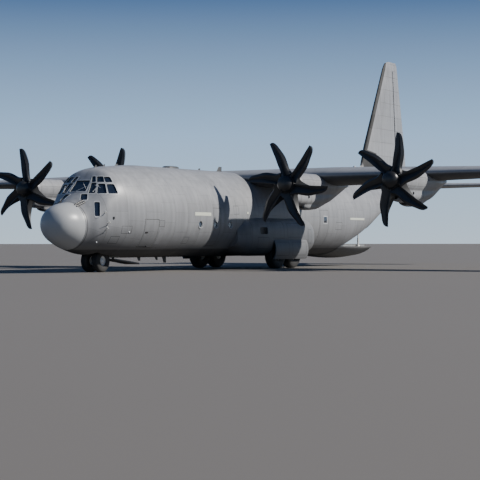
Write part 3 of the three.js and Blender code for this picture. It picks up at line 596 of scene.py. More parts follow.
def hullSeams(x, y, z):
    # frames round the hull, sheet joints along it and the panels' edges
    arc = z.maths("ARCTAN2", z - frames["axis"], x.size()) * frames["reach"]
    bay = (y / frames["pitch"]).floor()
    shifted = arc + bay.fold(1.0) * frames["sheet"] / 2
    rings = y.repeat(frames["pitch"], frames["seam"]) * frames["ringDark"]
    strips = shifted.repeat(frames["sheet"], frames["seam"]) * frames["stripDark"]
    seam = rings.mostly(strips).mostly(y.stroke(*frames["radomeSeam"]))
    for side, y0, y1, z0, z1 in hullPanels:
        sideMask = x.above(0.0) if side > 0 else x.below(0.0)
        seam = seam.mostly(outline(y, z, y0, y1, z0, z1) * sideMask)
    across = (y.fold(frames["pitch"] / 4) - frames["rivetRow"]).size()
    rivet = dots(arc.fold(frames["rivetStep"] / 2), across)
    return seam, rivet, bay, (shifted / frames["sheet"]).floor()


def plain(name, color, roughness, metallic=0.0, vary=0.2, scale=3.0, grain=0.1, depth=0.6, coat=0.0, **extra):
    # a simple finish with cloudy wear, fine grain and a little relief
    graph = Graph(name)
    x, y, z = graph.spot()
    at = graph.vector(x, y, z)
    cloud = graph.noise(at, scale, 5.0)
    fine = graph.noise(at, scale * 30, 3.0)
    return graph.surface({
        "Base Color": graph.tint(color, 1.0 + (cloud - 0.5) * vary + (fine - 0.5) * grain),
        "Roughness": roughness + (cloud - 0.5) * 0.2,
        "Normal": graph.bump(fine, depth),
        "Metallic": metallic,
        "Coat Weight": coat,
        **extra,
    })


# the hull's marks are painted shade under the belly
hullPaint = paint("hull_paint", hullSeams, marks=belly)
innerPaint = plain("hold_lining", (0.32, 0.34, 0.31), 0.6, vary=0.3)
radomePaint = paint("radome_paint", None, color=(0.33, 0.34, 0.35), roughness=0.36, drip=0.05, flow=0.05,
                    cloud=0.08, lowDirt=0.1)
sealRubber = plain("seal_rubber", (0.012, 0.012, 0.013), 0.7, vary=0.4)
framePaint = plain("window_frame_paint", (0.38, 0.39, 0.40), 0.4, vary=0.2)
cabinPaint = plain("cabin_trim", (0.055, 0.06, 0.06), 0.6, vary=0.3)
deckMetal = plain("deck_metal", (0.33, 0.33, 0.32), 0.42, metallic=0.6, vary=0.5, scale=2.0)
steel = plain("bare_steel", (0.45, 0.45, 0.46), 0.3, metallic=1.0, vary=0.25)
darkMetal = plain("dark_metal", (0.05, 0.05, 0.052), 0.45, metallic=0.7, vary=0.4)
blackPaint = plain("black_satin", (0.016, 0.0165, 0.018), 0.33, vary=0.4)


def makeGlass():
    graph = Graph("window_glass")
    x, y, z = graph.spot()
    smear = graph.noise(graph.vector(x, y, z), 5.0, 4.0)
    return graph.surface({
        "Base Color": graph.tint((0.012, 0.018, 0.032), 0.8 + 0.5 * smear),
        "Roughness": 0.04 + smear * 0.06,
        "Alpha": 0.86,
        "Coat Weight": 1.0,
        "Coat Roughness": 0.03,
    })


glass = makeGlass()
print("stage: finishes made")

# fuselage

hullColumns = ["y", "half", "crown", "waist", "keel", "low", "up"]
hullTable = [
    (0, 30, 2080, 2050, 2020, 2, 2),
    (60, 330, 2360, 2040, 1720, 2, 2),
    (200, 580, 2580, 2020, 1470, 2, 2),
    (450, 780, 2750, 1990, 1270, 2, 2),
    (800, 920, 2870, 1960, 1110, 2, 2),
    (1200, 1000, 2930, 1930, 960, 2, 2),
    (1750, 1330, 3250, 2010, 850, 2.1, 2.2),
    (2200, 1530, 3680, 2120, 770, 2.2, 2.8),
    (2800, 1730, 4340, 2220, 690, 2.3, 2.6),
    (3400, 1890, 4490, 2310, 635, 2.35, 2.3),
    (4100, 2030, 4550, 2400, 605, 2.4, 2.1),
    (5000, 2130, 4620, 2470, 600, 2.5, 2),
    (5900, 2160, 4660, 2500, 600, 2.55, 2),
    (22500, 2160, 4660, 2500, 600, 2.55, 2),
    (24000, 2130, 4660, 2620, 930, 2.5, 2),
    (25900, 2000, 4660, 2950, 1700, 2.4, 2),
    (27500, 1800, 4660, 3300, 2430, 2.2, 2),
    (29400, 1480, 4680, 3750, 3250, 2, 2),
    (31000, 1120, 4720, 4100, 3780, 2, 2),
    (32800, 660, 4730, 4350, 4120, 2, 2),
    (34340, 140, 4560, 4450, 4320, 2, 2),
]
fuselage = {
    "sides": 128, "holdSides": 96, "wall": 150, "tailWall": 80, "radomeEnd": 1200, "noseEnd": 5460,
    "centreEnd": 18800, "holdStart": 1475, "holdEnd": 29210, "tailStart": 29330, "tailEnd": 33000,
    "hatch": (4050, 350), "radomeSeam": 14, "sealInset": 22, "beyond": 34400,
    # first y, last y and step of the rings behind the radome
    "steps": [(1200, 6000, 75), (6000, 22500, 750), (22500, 34340, 150)],
}
farOut = 3000


def smoothTable(table):
    # a smooth curve through every column, with no overshoot between the rows
    rows = np.array(table, float)
    slope = np.diff(rows, axis=0) / np.diff(rows[:, 0])[:, None]
    tangent = np.zeros_like(rows)
    tangent[0], tangent[-1] = slope[0], slope[-1]
    product = slope[:-1] * slope[1:]
    total = np.where(product > 0, slope[:-1] + slope[1:], 1.0)
    tangent[1:-1] = np.where(product > 0, 2 * product / total, 0.0)

    def at(y):
        y = float(np.clip(y, rows[0, 0], rows[-1, 0]))
        i = int(np.clip(np.searchsorted(rows[:, 0], y, side="right") - 1, 0, len(rows) - 2))
        run = rows[i + 1, 0] - rows[i, 0]
        t = (y - rows[i, 0]) / run
        return (rows[i] * (1 + 2 * t) * (1 - t) ** 2 + rows[i + 1] * t * t * (3 - 2 * t)
                + tangent[i] * run * t * (1 - t) ** 2 - tangent[i + 1] * run * t * t * (1 - t))
    return at


hullRow = smoothTable(hullTable)
radomeRow = smoothTable([(math.sqrt(row[0]), *row[1:]) for row in hullTable[:7]])


def hullAt(y, ball=False):
    # the radome is read against the root of its length, which keeps its tip round
    row = radomeRow(math.sqrt(max(y, 0))) if ball else hullRow(y)
    return dict(zip(hullColumns, row))


def oval(x, y, s, sides, inset=0.0):
    angle = np.arange(sides) * 2 * math.pi / sides
    c, n = np.cos(angle), np.sin(angle)
    power = np.where(n >= 0, 2 / s["up"], 2 / s["low"])
    height = np.where(n >= 0, s["crown"] - s["waist"], s["waist"] - s["keel"]) - inset
    across = np.sign(c) * np.abs(c) ** power * (s["half"] - inset)
    up = s["waist"] + np.sign(n) * np.abs(n) ** power * height
    return np.stack((x + across, np.full(sides, float(y)), up), 1)


def hullStops(start, end):
    radome = fuselage["radomeEnd"] * (np.arange(41) / 40) ** 2
    stops = np.concatenate((radome, *[np.arange(*run) for run in fuselage["steps"]], (model["length"],)))
    return [start, *[y for y in stops if start + 1 < y < end - 1], end]


def hullLoft(name, inset=0.0, start=0.0, end=34340.0, sides=None, ball=False):
    sides = sides or fuselage["sides"]
    return loft(name, [oval(0, y, hullAt(y, ball), sides, inset) for y in hullStops(start, end)])


def halfOf(s, top):
    # height and power of a section's upper or lower half
    return (s["crown"] - s["waist"], s["up"]) if top else (s["waist"] - s["keel"], s["low"])


def inHull(x, y, z, depth=0):
    # whether a place lies inside the hull, by at least depth at its widest
    s = hullAt(y)
    rise, power = halfOf(s, z >= s["waist"])
    share = abs(x / s["half"]) ** power + abs((z - s["waist"]) / rise) ** power
    return share < (1 - depth / s["half"]) ** power


def skinX(y, z):
    s = hullAt(y)
    rise, power = halfOf(s, z >= s["waist"])
    return s["half"] * (1 - abs((z - s["waist"]) / rise) ** power) ** (1 / power)


def skinY(x, z):
    near, far = 200.0, 5900.0
    for _ in range(40):
        y = (near + far) / 2
        near, far = (near, y) if inHull(x, y, z) else (y, far)
    return far


# cockpit windows on the port side: name, X of the lower and upper corners, Z of both edges
windowTable = [
    ("centre", (-390, 390), (-330, 330), (3400, 3850)),
    ("front", (590, 850), (480, 700), (3330, 3740)),
    ("quarter", (960, 1270), (810, 1070), (3310, 3690)),
    ("side", (1340, 1550), (1155, 1360), (3310, 3670)),
    ("brow_front", (450, 630), (370, 510), (3810, 4020)),
    ("brow_quarter", (720, 990), (610, 845), (3800, 4010)),
    ("brow_side", (1075, 1275), (910, 1100), (3790, 3990)),
    ("chin", (450, 680), (310, 560), (3040, 3260)),
    ("foot", (1170, 1290), (1000, 1170), (2370, 2910)),
]
windowLook = {"wide": 24, "frame": 66, "proud": 9, "paneDepth": 30, "paneThick": 12, "corner": 45,
              "seal": 16, "reach": 210}


def skinZ(x, y, top=True):
    s = hullAt(y)
    rise, power = halfOf(s, top)
    return s["waist"] + (1 if top else -1) * rise * (1 - abs(x / s["half"]) ** power) ** (1 / power)


def windowCorners(low, high, z, side):
    places = ((low[0], z[0]), (low[1], z[0]), (high[1], z[1]), (high[0], z[1]))
    corners = np.array([(side * x, skinY(abs(x), height), height) for x, height in places])
    normal = np.cross(corners[2] - corners[0], corners[3] - corners[1])
    normal /= np.linalg.norm(normal)
    return corners, -normal if normal[1] > 0 else normal


def windowRing(corners, normal, grow, offset):
    # the four corners moved out by grow, then rounded
    out = corners - corners.mean(0)
    out -= np.outer(out @ normal, normal)
    out /= np.linalg.norm(out, axis=1)[:, None]
    moved = corners + out * grow * 1.4 + normal * offset
    points = []
    for k, corner in enumerate(moved):
        arms = []
        for other in (moved[k - 1], moved[(k + 1) % 4]):
            run = other - corner
            size = np.linalg.norm(run)
            arms.append(corner + run / size * min(windowLook["corner"] + grow * 0.7, size * 0.3))
        for t in np.linspace(0, 1, 6):
            points.append(arms[0] * (1 - t) ** 2 + corner * 2 * t * (1 - t) + arms[1] * t ** 2)
    return np.array(points)


def windowPlug(window, side, grow):
    corners, normal = windowCorners(*window[1:], side)
    reach = windowLook["reach"]
    return loft("plug", [windowRing(corners, normal, grow, d) for d in (-reach, reach)])


windowsBothSides = [(window, side) for window in windowTable
                    for side in ((1,) if window[0] == "centre" else (1, -1))]

cargoFloor = {"top": 1040, "thick": 240, "halfWidth": 1560, "start": 5700}
flightDeck = {"top": 2300, "thick": 90, "start": 1900, "end": 5330}
rampHinge = {"y": 22530, "z": 995, "radius": 45}
ramp = {"length": 3500, "closedAngle": 20, "rake": 18, "lugs": (-1000, -300, 300, 1000), "lugHalf": 30,
        "deep": 1500}
rearDoor = {
    "hingeY": 29090, "hingeZ": 3560, "front": 25830, "thick": 110, "frontHalf": 1430, "backHalf": 1200,
    "openAngle": 29, "arms": (-900, 900), "armHalf": 40, "radius": 45,
}
mainWell = {"inner": 1640, "outer": 2330, "cut": 2400, "start": 13880, "end": 17100, "top": 2300, "wall": 70,
            "wallOuter": 2300, "wallLow": 400}
noseWell = {"halfWidth": 690, "start": 2350, "end": 3990, "top": 1480, "wall": 60}
portholes = {"y": (8130, 9400, 10670), "z": 2060, "radius": 150}
crewDoor = {"start": 4000, "end": 4915, "bottom": 1060, "top": 2250, "inset": 12, "sill": 12,
            "leafCorner": 90, "mouthCorner": 100, "pinX": 1650, "pinZ": 1089, "pinStart": 4560, "pin": 25}
troopDoor = {"start": 19350, "end": 20280, "bottom": 1060, "top": 2910, "inset": 4, "sill": 0,
             "leafCorner": 90, "mouthCorner": 94}
wing = {
    "leadY": 13450, "rootChord": 4880, "tipChord": 2480, "joinX": 5590, "tipX": 20205,
    "planeZ": 4345, "rise": 0.0035, "rootThick": 0.18, "tipThick": 0.12,
}
tail = {"z": 4480, "halfSpan": 8025, "rootLead": 29650, "rootChord": 3500, "tipLead": 31500, "tipChord": 1500,
        "thick": 0.12}


def blend(a, b, t):
    return a + (b - a) * t


def halfThickness(t, chord, thick):
    # the usual four-digit symmetric section
    shape = 0.2969 * np.sqrt(t) - 0.126 * t - 0.3516 * t ** 2 + 0.2843 * t ** 3 - 0.1015 * t ** 4
    return 5 * thick * chord * shape


def aerofoil(lead, chord, thick, grow=0.0, steps=26):
    # rows of distance aft and height, round a symmetric section with a blunt trailing edge
    t = (1 - np.cos(np.linspace(0, math.pi, steps + 1))) / 2
    half = halfThickness(t, chord, thick)
    half = np.where(t > 0.5, np.maximum(half, 6), half) + np.where(t > 0, grow, 0)
    along = lead - grow + t * (chord + 2 * grow)
    return np.concatenate((np.stack((along, half), 1), np.stack((along, -half), 1)[:0:-1]))


def wingAt(x):
    t = max(0.0, (abs(x) - wing["joinX"]) / (wing["tipX"] - wing["joinX"]))
    chord = blend(wing["rootChord"], wing["tipChord"], t)
    return {"chord": chord, "lead": wing["leadY"] + (wing["rootChord"] - chord) / 4,
            "thick": blend(wing["rootThick"], wing["tipThick"], t),
            "z": wing["planeZ"] + wing["rise"] * abs(x)}


def wingRing(x, grow=0.0):
    s = wingAt(x)
    return [(x, y, s["z"] + z) for y, z in aerofoil(s["lead"], s["chord"], s["thick"], grow)]


def tailAt(x):
    t = abs(x) / tail["halfSpan"]
    return blend(tail["rootLead"], tail["tipLead"], t), blend(tail["rootChord"], tail["tipChord"], t)


def tailRing(x, grow=0.0):
    return [(x, y, tail["z"] + z) for y, z in aerofoil(*tailAt(x), tail["thick"], grow)]


def centreWing(grow=0.0):
    return loft("wing", [wingRing(x, grow) for x in (-wing["joinX"], 0, wing["joinX"])])


def tailLoft(grow=0.0):
    return loft("tail", [tailRing(x, grow) for x in (-tail["halfSpan"], 0, tail["halfSpan"])])


def rampPoint(along, up):
    a = math.radians(ramp["closedAngle"])
    return (rampHinge["y"] + along * math.cos(a) - up * math.sin(a),
            rampHinge["z"] + along * math.sin(a) + up * math.cos(a))


rampTop = [rampPoint(s, rampHinge["radius"]) for s in (0, ramp["length"])]
rampRake = ramp["deep"] * math.tan(math.radians(ramp["rake"]))


def rampMouth():
    # the rear edge follows the arc of the ramp's own rear edge
    low = cargoFloor["top"] - ramp["deep"]
    play = model["play"]
    front = rampTop[0][0] - play
    reach = ramp["length"] + 2 * play
    up = rampHinge["radius"] + play
    arc = [(rampHinge["y"] + reach * math.cos(a), rampHinge["z"] + reach * math.sin(a) + up)
           for a in math.radians(ramp["closedAngle"]) * np.linspace(1, 0, 9)]
    sill = [(front - rampRake, low), (front, cargoFloor["top"]), (rampTop[0][0], rampTop[0][1] + play)]
    return slab("mouth", [*sill, *arc, (arc[-1][0], low)], -farOut, farOut)


def rearPrism(front, back, grow):
    rings = []
    for y in (front, back):
        t = (y - rearDoor["front"]) / (rearDoor["hingeY"] - rearDoor["front"])
        half = blend(rearDoor["frontHalf"], rearDoor["backHalf"], t) + grow
        top = rearDoor["hingeZ"] + 40
        rings.append([(-half, y, 500), (half, y, 500), (half, y, top), (-half, y, top)])
    return loft("prism", rings)


def roundedBlock(x0, x1, y0, y1, z0, z1, radius):
    # a block along X whose outline in Y and Z has round corners
    points = []
    for cy, cz, first in ((y1, z1, 0), (y0, z1, 90), (y0, z0, 180), (y1, z0, 270)):
        my = cy - math.copysign(radius, cy - (y0 + y1) / 2)
        mz = cz - math.copysign(radius, cz - (z0 + z1) / 2)
        for k in range(5):
            a = math.radians(first + k * 22.5)
            points.append((my + radius * math.cos(a), mz + radius * math.sin(a)))
    return slab("rounded", points, x0, x1)


def doorBlock(door, x0, corner, inset=0, sill=0):
    return roundedBlock(x0, farOut, door["start"] + inset, door["end"] - inset, door["bottom"] + inset + sill,
                        door["top"] - inset, corner)


def hullShell():
    wall, tailWall, sides = fuselage["wall"], fuselage["tailWall"], fuselage["holdSides"]
    height, radius = fuselage["hatch"]
    hold = unite(
        hullLoft("hold", wall, fuselage["holdStart"], fuselage["centreEnd"] + 1, sides),
        hullLoft("aft_hold", tailWall, fuselage["centreEnd"], fuselage["holdEnd"], sides),
        hullLoft("cone", tailWall, fuselage["tailStart"], fuselage["tailEnd"], sides),
        rod((0, fuselage["holdEnd"] - 10, height), (0, fuselage["tailStart"] + 10, height), radius))
    return carve(hullLoft("hull"), hold)


def wellLining():
    wall, low = mainWell["wall"], mainWell["wallLow"]
    walls = [sideBlock(side, mainWell["inner"] - wall, mainWell["wallOuter"], mainWell["start"] - wall,
                       mainWell["end"] + wall, low, mainWell["top"] + wall) for side in (1, -1)]
    wall = noseWell["wall"]
    half = noseWell["halfWidth"] + wall
    walls.append(block(-half, half, noseWell["start"] - wall, noseWell["end"] + wall, low,
                       noseWell["top"] + wall))
    return meet(unite(*walls), hullLoft("whole"))


def hullCutters():
    half, gap = noseWell["halfWidth"], model["gap"]
    cutters = [sideBlock(side, mainWell["inner"], mainWell["cut"], mainWell["start"], mainWell["end"], 0,
                         mainWell["top"]) for side in (1, -1)]
    cutters += [
        block(-half, half, noseWell["start"], noseWell["end"], 0, noseWell["top"]), rampMouth(),
        rearPrism(rampTop[1][0] - 200, rearDoor["hingeY"] + 20, model["play"]),
        doorBlock(crewDoor, 0, crewDoor["mouthCorner"]),
        doorBlock(troopDoor, -farOut, troopDoor["mouthCorner"]),
        centreWing(gap), tailLoft(gap),
    ]
    z, radius = portholes["z"], portholes["radius"]
    cutters += [rod((-farOut, y, z), (farOut, y, z), radius) for y in portholes["y"]]
    return cutters + [windowPlug(window, side, windowLook["wide"]) for window, side in windowsBothSides]


def dressHull(piece, body, node):
    tellInside(piece)
    dress(piece, body, [hullPaint, innerPaint], [node], "airframe_paint")


def makeFuselage():
    lining = wellLining()
    shell = hullShell()
    crew, troop = (
        meet(duplicate(shell, name), doorBlock(door, 0, door["leafCorner"], door["inset"], door["sill"]))
        for name, door in (("crew_door", crewDoor), ("troop_door_left", troopDoor)))
    carve(unite(shell, lining), *hullCutters())
    stops = [fuselage["radomeEnd"], fuselage["noseEnd"], fuselage["centreEnd"], fuselage["beyond"]]
    for name, start, end in zip(("nose_section", "center_fuselage", "aft_fuselage"), stops, stops[1:]):
        cut = block(-9000, 9000, start, end - model["gap"], -500, 13000)
        dressHull(meet(duplicate(shell, name + "_skin"), cut), airframe, name)
    discard(shell)
    dressHull(crew, "crew_door_leaf", "crew_door")
    opposite = mirrored(troop, "troop_door_right_skin")
    dressHull(troop, airframe, "troop_door_left")
    dressHull(opposite, airframe, "troop_door_right")


def tellInside(piece):
    # faces that lie deeper than the skin get the second finish
    mesh = piece.data
    count = len(mesh.polygons)
    centres = np.zeros(count * 3)
    mesh.polygons.foreach_get("center", centres)
    inside = [int(inHull(*spot, depth=30)) for spot in fromFrame(centres.reshape(-1, 3))]
    mesh.materials.clear()
    for material in (hullPaint, innerPaint):
        mesh.materials.append(material)
    mesh.polygons.foreach_set("material_index", inside)


def makeRadome():
    end = fuselage["radomeEnd"]
    start = end - fuselage["radomeSeam"]
    nose = hullLoft("radome_shell", 0, 0, start, ball=True)
    dress(nose, airframe, radomePaint, ["radome"], "radome_paint")
    rings = [oval(0, y, hullAt(start, True), fuselage["sides"], fuselage["sealInset"])
             for y in (start, end + 40)]
    dress(loft("radome_seal", rings), airframe, sealRubber, slot="tyre_rubber")


makeRadome()
makeFuselage()
print("stage: fuselage made")

# wings, tail and their control surfaces

wingLines = {
    "ribPitch": 1.22, "ribWidth": 0.016, "ribRun": (0.05, 0.74), "spars": (0.145, 0.60), "sparWidth": 0.004,
    "midSpar": (0.36, 0.003), "midDark": 0.6, "hatch": (0.36, 0.86, 1.55, 2.05, 0.014), "hatchDark": 0.8,
    "rivetStep": 0.06, "rivetRow": 0.155,
}


def wingSeams(x, y, z):
    # ribs across and spars along the tapering wing, whose chord is counted from 0 to 1
    look, span = wingLines, x.size()
    taper = (span - wing["joinX"] / 1000).mostly(0.0) / ((wing["tipX"] - wing["joinX"]) / 1000)
    chord = wing["rootChord"] / 1000 - taper * ((wing["rootChord"] - wing["tipChord"]) / 1000)
    share = (y - wing["leadY"] / 1000 - (wing["rootChord"] / 1000 - chord) / 4) / chord
    ribs = span.repeat(look["ribPitch"], look["ribWidth"]) * share.between(*look["ribRun"])
    spars = strokes(share, look["spars"], look["sparWidth"])
    spars = spars.mostly(share.stroke(*look["midSpar"]) * look["midDark"])
    hatches = outline(span.fold(look["ribPitch"]), share * 4.0, *look["hatch"]) * look["hatchDark"]
    across = (share - look["rivetRow"]).size() * 4.0
    rivet = dots(span.fold(look["rivetStep"] / 2), across)
    return ribs.mostly(spars).mostly(hatches), rivet, (span / look["ribPitch"]).floor(), (share * 3.0).floor()


finLines = {"ribPitch": 0.78, "ribStart": 28.2, "width": 0.014, "foot": 4.6, "front": (29.3, 0.335),
            "rear": (31.3, 0.2), "rivetRow": 29.34, "rivetStep": 0.06, "cell": 1.6}


def finSeams(x, y, z):
    # level ribs and two leaning spars
    look, up = finLines, z - finLines["foot"]
    ribs = z.repeat(look["ribPitch"], look["width"]) * y.above(look["ribStart"])
    front, rear = ((y - at - up * lean).stroke(0.0, look["width"])
                   for at, lean in (look["front"], look["rear"]))
    across = (y - look["rivetRow"] - up * look["front"][1]).size()
    rivet = dots(z.fold(look["rivetStep"] / 2), across)
    return ribs.mostly(front.mostly(rear)), rivet, (z / look["ribPitch"]).floor(), (y / look["cell"]).floor()


tailLines = {"ribPitch": 0.86, "ribWidth": 0.014, "front": (30.15, 0.17), "rear": (31.9, 0.06),
             "width": 0.012, "cell": 1.2}


def tailSeams(x, y, z):
    look, span = tailLines, x.size()
    ribs = span.repeat(look["ribPitch"], look["ribWidth"])
    front, rear = ((y - at - span * lean).stroke(0.0, look["width"])
                   for at, lean in (look["front"], look["rear"]))
    return ribs.mostly(front.mostly(rear)), 0.0, (span / look["ribPitch"]).floor(), (y / look["cell"]).floor()


def finMarks(x, y, z):
    # the dark leading edge, and the dark panel at the fin's root with its four edges
    edge = (y - (z * 0.5075 + 25.32)).below(0.2, 0.02) * z.above(5.6, 0.4)
    sides = y.above(28.38, 0.02) * (y - 27.95 - z * 0.28).below(0.0, 0.02)
    return edge.mostly(sides * (z + y * 0.2 - 12.28).below(0.0, 0.02) * z.above(5.1, 0.02))


def wingUnder(x, y, z):
    # painted shade: the underside, below the sections' middle plane, is painted darker
    return (z - x.size() * wing["rise"] - (wing["planeZ"] - 40) / 1000).below(0.0, 0.05) * 0.75


# the wing's marks are painted shade on its underside
wingPaint = paint("wing_paint", wingSeams, lowDirt=0.0, drip=0.08, flow=0.22, marks=wingUnder)
finPaint = paint("fin_paint", finSeams, lowDirt=0.0, marks=finMarks)
tailPaint = paint("tailplane_paint", tailSeams, lowDirt=0.0)

flaps = {
    "hinge": 0.74, "aileronHinge": 0.75, "inner": (1950, 5540), "outer": (5650, 12340),
    "aileron": (12420, 19300), "lugs": (0.25, 0.75), "lugHalf": 15, "lugRadius": 40, "lugRoot": 60,
}
fin = {
    # height, leading edge, trailing edge, thickness as a part of the chord
    "rows": [(4600, 27900, 34340, 0.1), (6700, 28720, 34090, 0.11), (11350, 31080, 33050, 0.12),
             (11700, 31330, 32940, 0.11), (11840, 31750, 32800, 0.05)],
    "rudder": ((0, 32650, 4960), (0, 32310, 11300)), "rudderRadii": (150, 62), "rudderLugs": (0.1, 0.5, 0.9),
    # the low ridge ahead of the fin: y, half width, crown and the power of its upper half
    "fillet": [(25300, 20, 4660, 2), (26200, 70, 4760, 1.8), (27000, 130, 4900, 1.6), (27700, 165, 5220, 1.5),
               (28300, 190, 5650, 1.4), (29000, 200, 6300, 1.4)],
    "filletFoot": {"waist": 4500, "keel": 4400, "low": 2},
}
elevators = {"hinge": 0.68, "span": (960, 7700), "lugs": (0.15, 0.8), "nose": 0.33}


def hinged(base, start, end, radii, lugs):
    # the moving surface has a round nose about its hinge line; the lugs stay on the fixed part
    start, end = np.asarray(start, float), np.asarray(end, float)
    span = np.linalg.norm(end - start)
    x = (end - start) / span
    y = np.array((0, 1, 0)) - x * x[1]
    y /= np.linalg.norm(y)
    local = np.eye(4)
    local[:3, 0], local[:3, 1], local[:3, 2], local[:3, 3] = x, y, np.cross(x, y), start
    reach, widest, play = 4000, max(radii), model["play"]

    def localBlock(*sides):
        return place(block(*sides), local)

    def localRod(x0, x1, radius, endRadius=None):
        return place(rod((x0, 0, 0), (x1, 0, 0), radius, endRadius, 40), local)

    rest = carve(duplicate(base, "rest"),
                 localBlock(-play, span + play, -widest - play, reach, -reach, reach))
    surface = meet(unite(localBlock(0, span, 0, reach, -reach, reach), localRod(0, span, *radii)), base)
    half, radius = flaps["lugHalf"], flaps["lugRadius"]
    slot, root = half + model["gap"], -widest - play - flaps["lugRoot"]
    for share in lugs:
        at = share * span
        carve(surface, localBlock(at - slot, at + slot, -reach, radius + play / 2, -reach, reach))
        unite(rest, localBlock(at - half, at + half, root, 0, -radius, radius),
              localRod(at - half, at + half, radius))
    return surface, rest


def wingHinge(x, share):
    s = wingAt(x)
    return (x, s["lead"] + share * s["chord"], s["z"])


def splitWing(base, key, share):
    start, end = flaps[key]
    radii = [float(halfThickness(share, wingAt(x)["chord"], wingAt(x)["thick"])) for x in (start, end)]
    return hinged(base, wingHinge(start, share), wingHinge(end, share), radii, flaps["lugs"])


wingTip = {"start": 19700, "steps": 8, "thin": 0.62, "short": 0.32, "back": 0.62}


def outerWing(grow=0.0):
    look, tip = wingTip, wingAt(wing["tipX"])
    stops = [wing["joinX"] + model["gap"], 12400, 18800, look["start"]]
    rings = [wingRing(x, grow) for x in stops]
    for k in range(look["steps"]):
        # the tip is rounded off in plan and in thickness
        a = (k + 1) / look["steps"] * math.pi / 2
        x = look["start"] + (wing["tipX"] - look["start"]) * math.sin(a)
        s = wingAt(x)
        shrink = math.cos(a) * look["thin"] + (1 - look["thin"])
        chord = s["chord"] * (1 - look["short"] + look["short"] * math.cos(a))
        lead = s["lead"] + (s["chord"] - chord) * look["back"]
        rings.append([(x, y, tip["z"] + z) for y, z in aerofoil(lead, chord, s["thick"] * shrink, grow)])
    return loft("outer_wing", rings)


def dressSides(piece, name, node, finish, body=airframe, **look):
    # a port piece and its mirror image; name, node and body hold a place for the side
    for side, sign in bothSides:
        dress(onSide(piece, sign, name.format(side)), body.format(side), finish, [node.format(side)],
              "airframe_paint", **look)
    discard(piece)


def makeWing():
    surface, rest = splitWing(centreWing(), "inner", flaps["hinge"])
    left = meet(duplicate(rest, "left"), block(0, 9000, 9000, 21000, 0, 9000))
    discard(rest)
    right = mirrored(left, "right")
    dress(unite(left, right), airframe, wingPaint, ["center_wing"], "airframe_paint", sharp=40)
    flap, rest = splitWing(outerWing(), "outer", flaps["hinge"])
    aileron, rest = splitWing(rest, "aileron", flaps["aileronHinge"])
    dressSides(rest, "outer_wing_{}_skin", "outer_wing_{}", wingPaint, sharp=40)
    for key, piece in (("inner_flap", surface), ("outer_flap", flap), ("aileron", aileron)):
        dressSides(piece, key + "_{}_skin", key + "_{}", wingPaint, key + "_{}_surface", sharp=40)


def finRing(row):
    z, lead, trail, thick = row
    return [(x, y, z) for y, x in aerofoil(lead, trail - lead, thick)]


def dorsalFillet():
    rings = [oval(0, y, {**fin["filletFoot"], "half": half, "crown": crown, "up": power}, 48)
             for y, half, crown, power in fin["fillet"]]
    return loft("dorsal", rings)


tailTip = [
    # part of the half span, and what is left there of chord and thickness
    (0.0, 1, 1), (0.3, 1, 1), (0.6, 1, 1), (0.9, 1, 1), (0.96, 0.97, 0.9), (0.985, 0.9, 0.7),
    (1.0, 0.74, 0.3),
]


def tailplane():
    rings = []
    for side in (-1, 1):
        for t, share, thin in tailTip[::-1] if side < 0 else tailTip[1:]:
            x = side * t * tail["halfSpan"]
            lead, chord = tailAt(x)
            section = aerofoil(lead + chord * (1 - share) * 0.7, chord * share, tail["thick"] * thin)
            rings.append([(x, y, tail["z"] + z) for y, z in section])
    return loft("tailplane", rings)


def makeTail():
    shape = loft("fin", [finRing(row) for row in fin["rows"]])
    rudder, rest = hinged(shape, *fin["rudder"], fin["rudderRadii"], fin["rudderLugs"])
    carve(unite(rest, dorsalFillet()), hullLoft("grown", -model["gap"]), tailLoft(model["gap"]))
    dress(rest, airframe, finPaint, ["fin"], "airframe_paint", sharp=40)
    carve(rudder, hullLoft("clear", -model["play"]))
    dress(rudder, "rudder_surface", finPaint, ["rudder"], "airframe_paint", sharp=40)
    ends, radii = [], []
    for x in elevators["span"]:
        lead, chord = tailAt(x)
        ends.append((x, lead + elevators["hinge"] * chord, tail["z"]))
        radii.append(chord * tail["thick"] * elevators["nose"])
    surface, rest = hinged(tailplane(), *ends, radii, elevators["lugs"])
    half = meet(rest, block(0, 9000, 28000, 36000, 3000, 6000))
    whole = unite(mirrored(half, "tailplane_skin"), half)
    dress(whole, airframe, tailPaint, ["tailplane"], "airframe_paint", sharp=40)
    dressSides(surface, "elevator_{}_skin", "elevator_{}", tailPaint, "elevator_{}_surface", sharp=40)


makeWing()
makeTail()
print("stage: wings and tail made")

# engines: nacelles, spinners and propellers

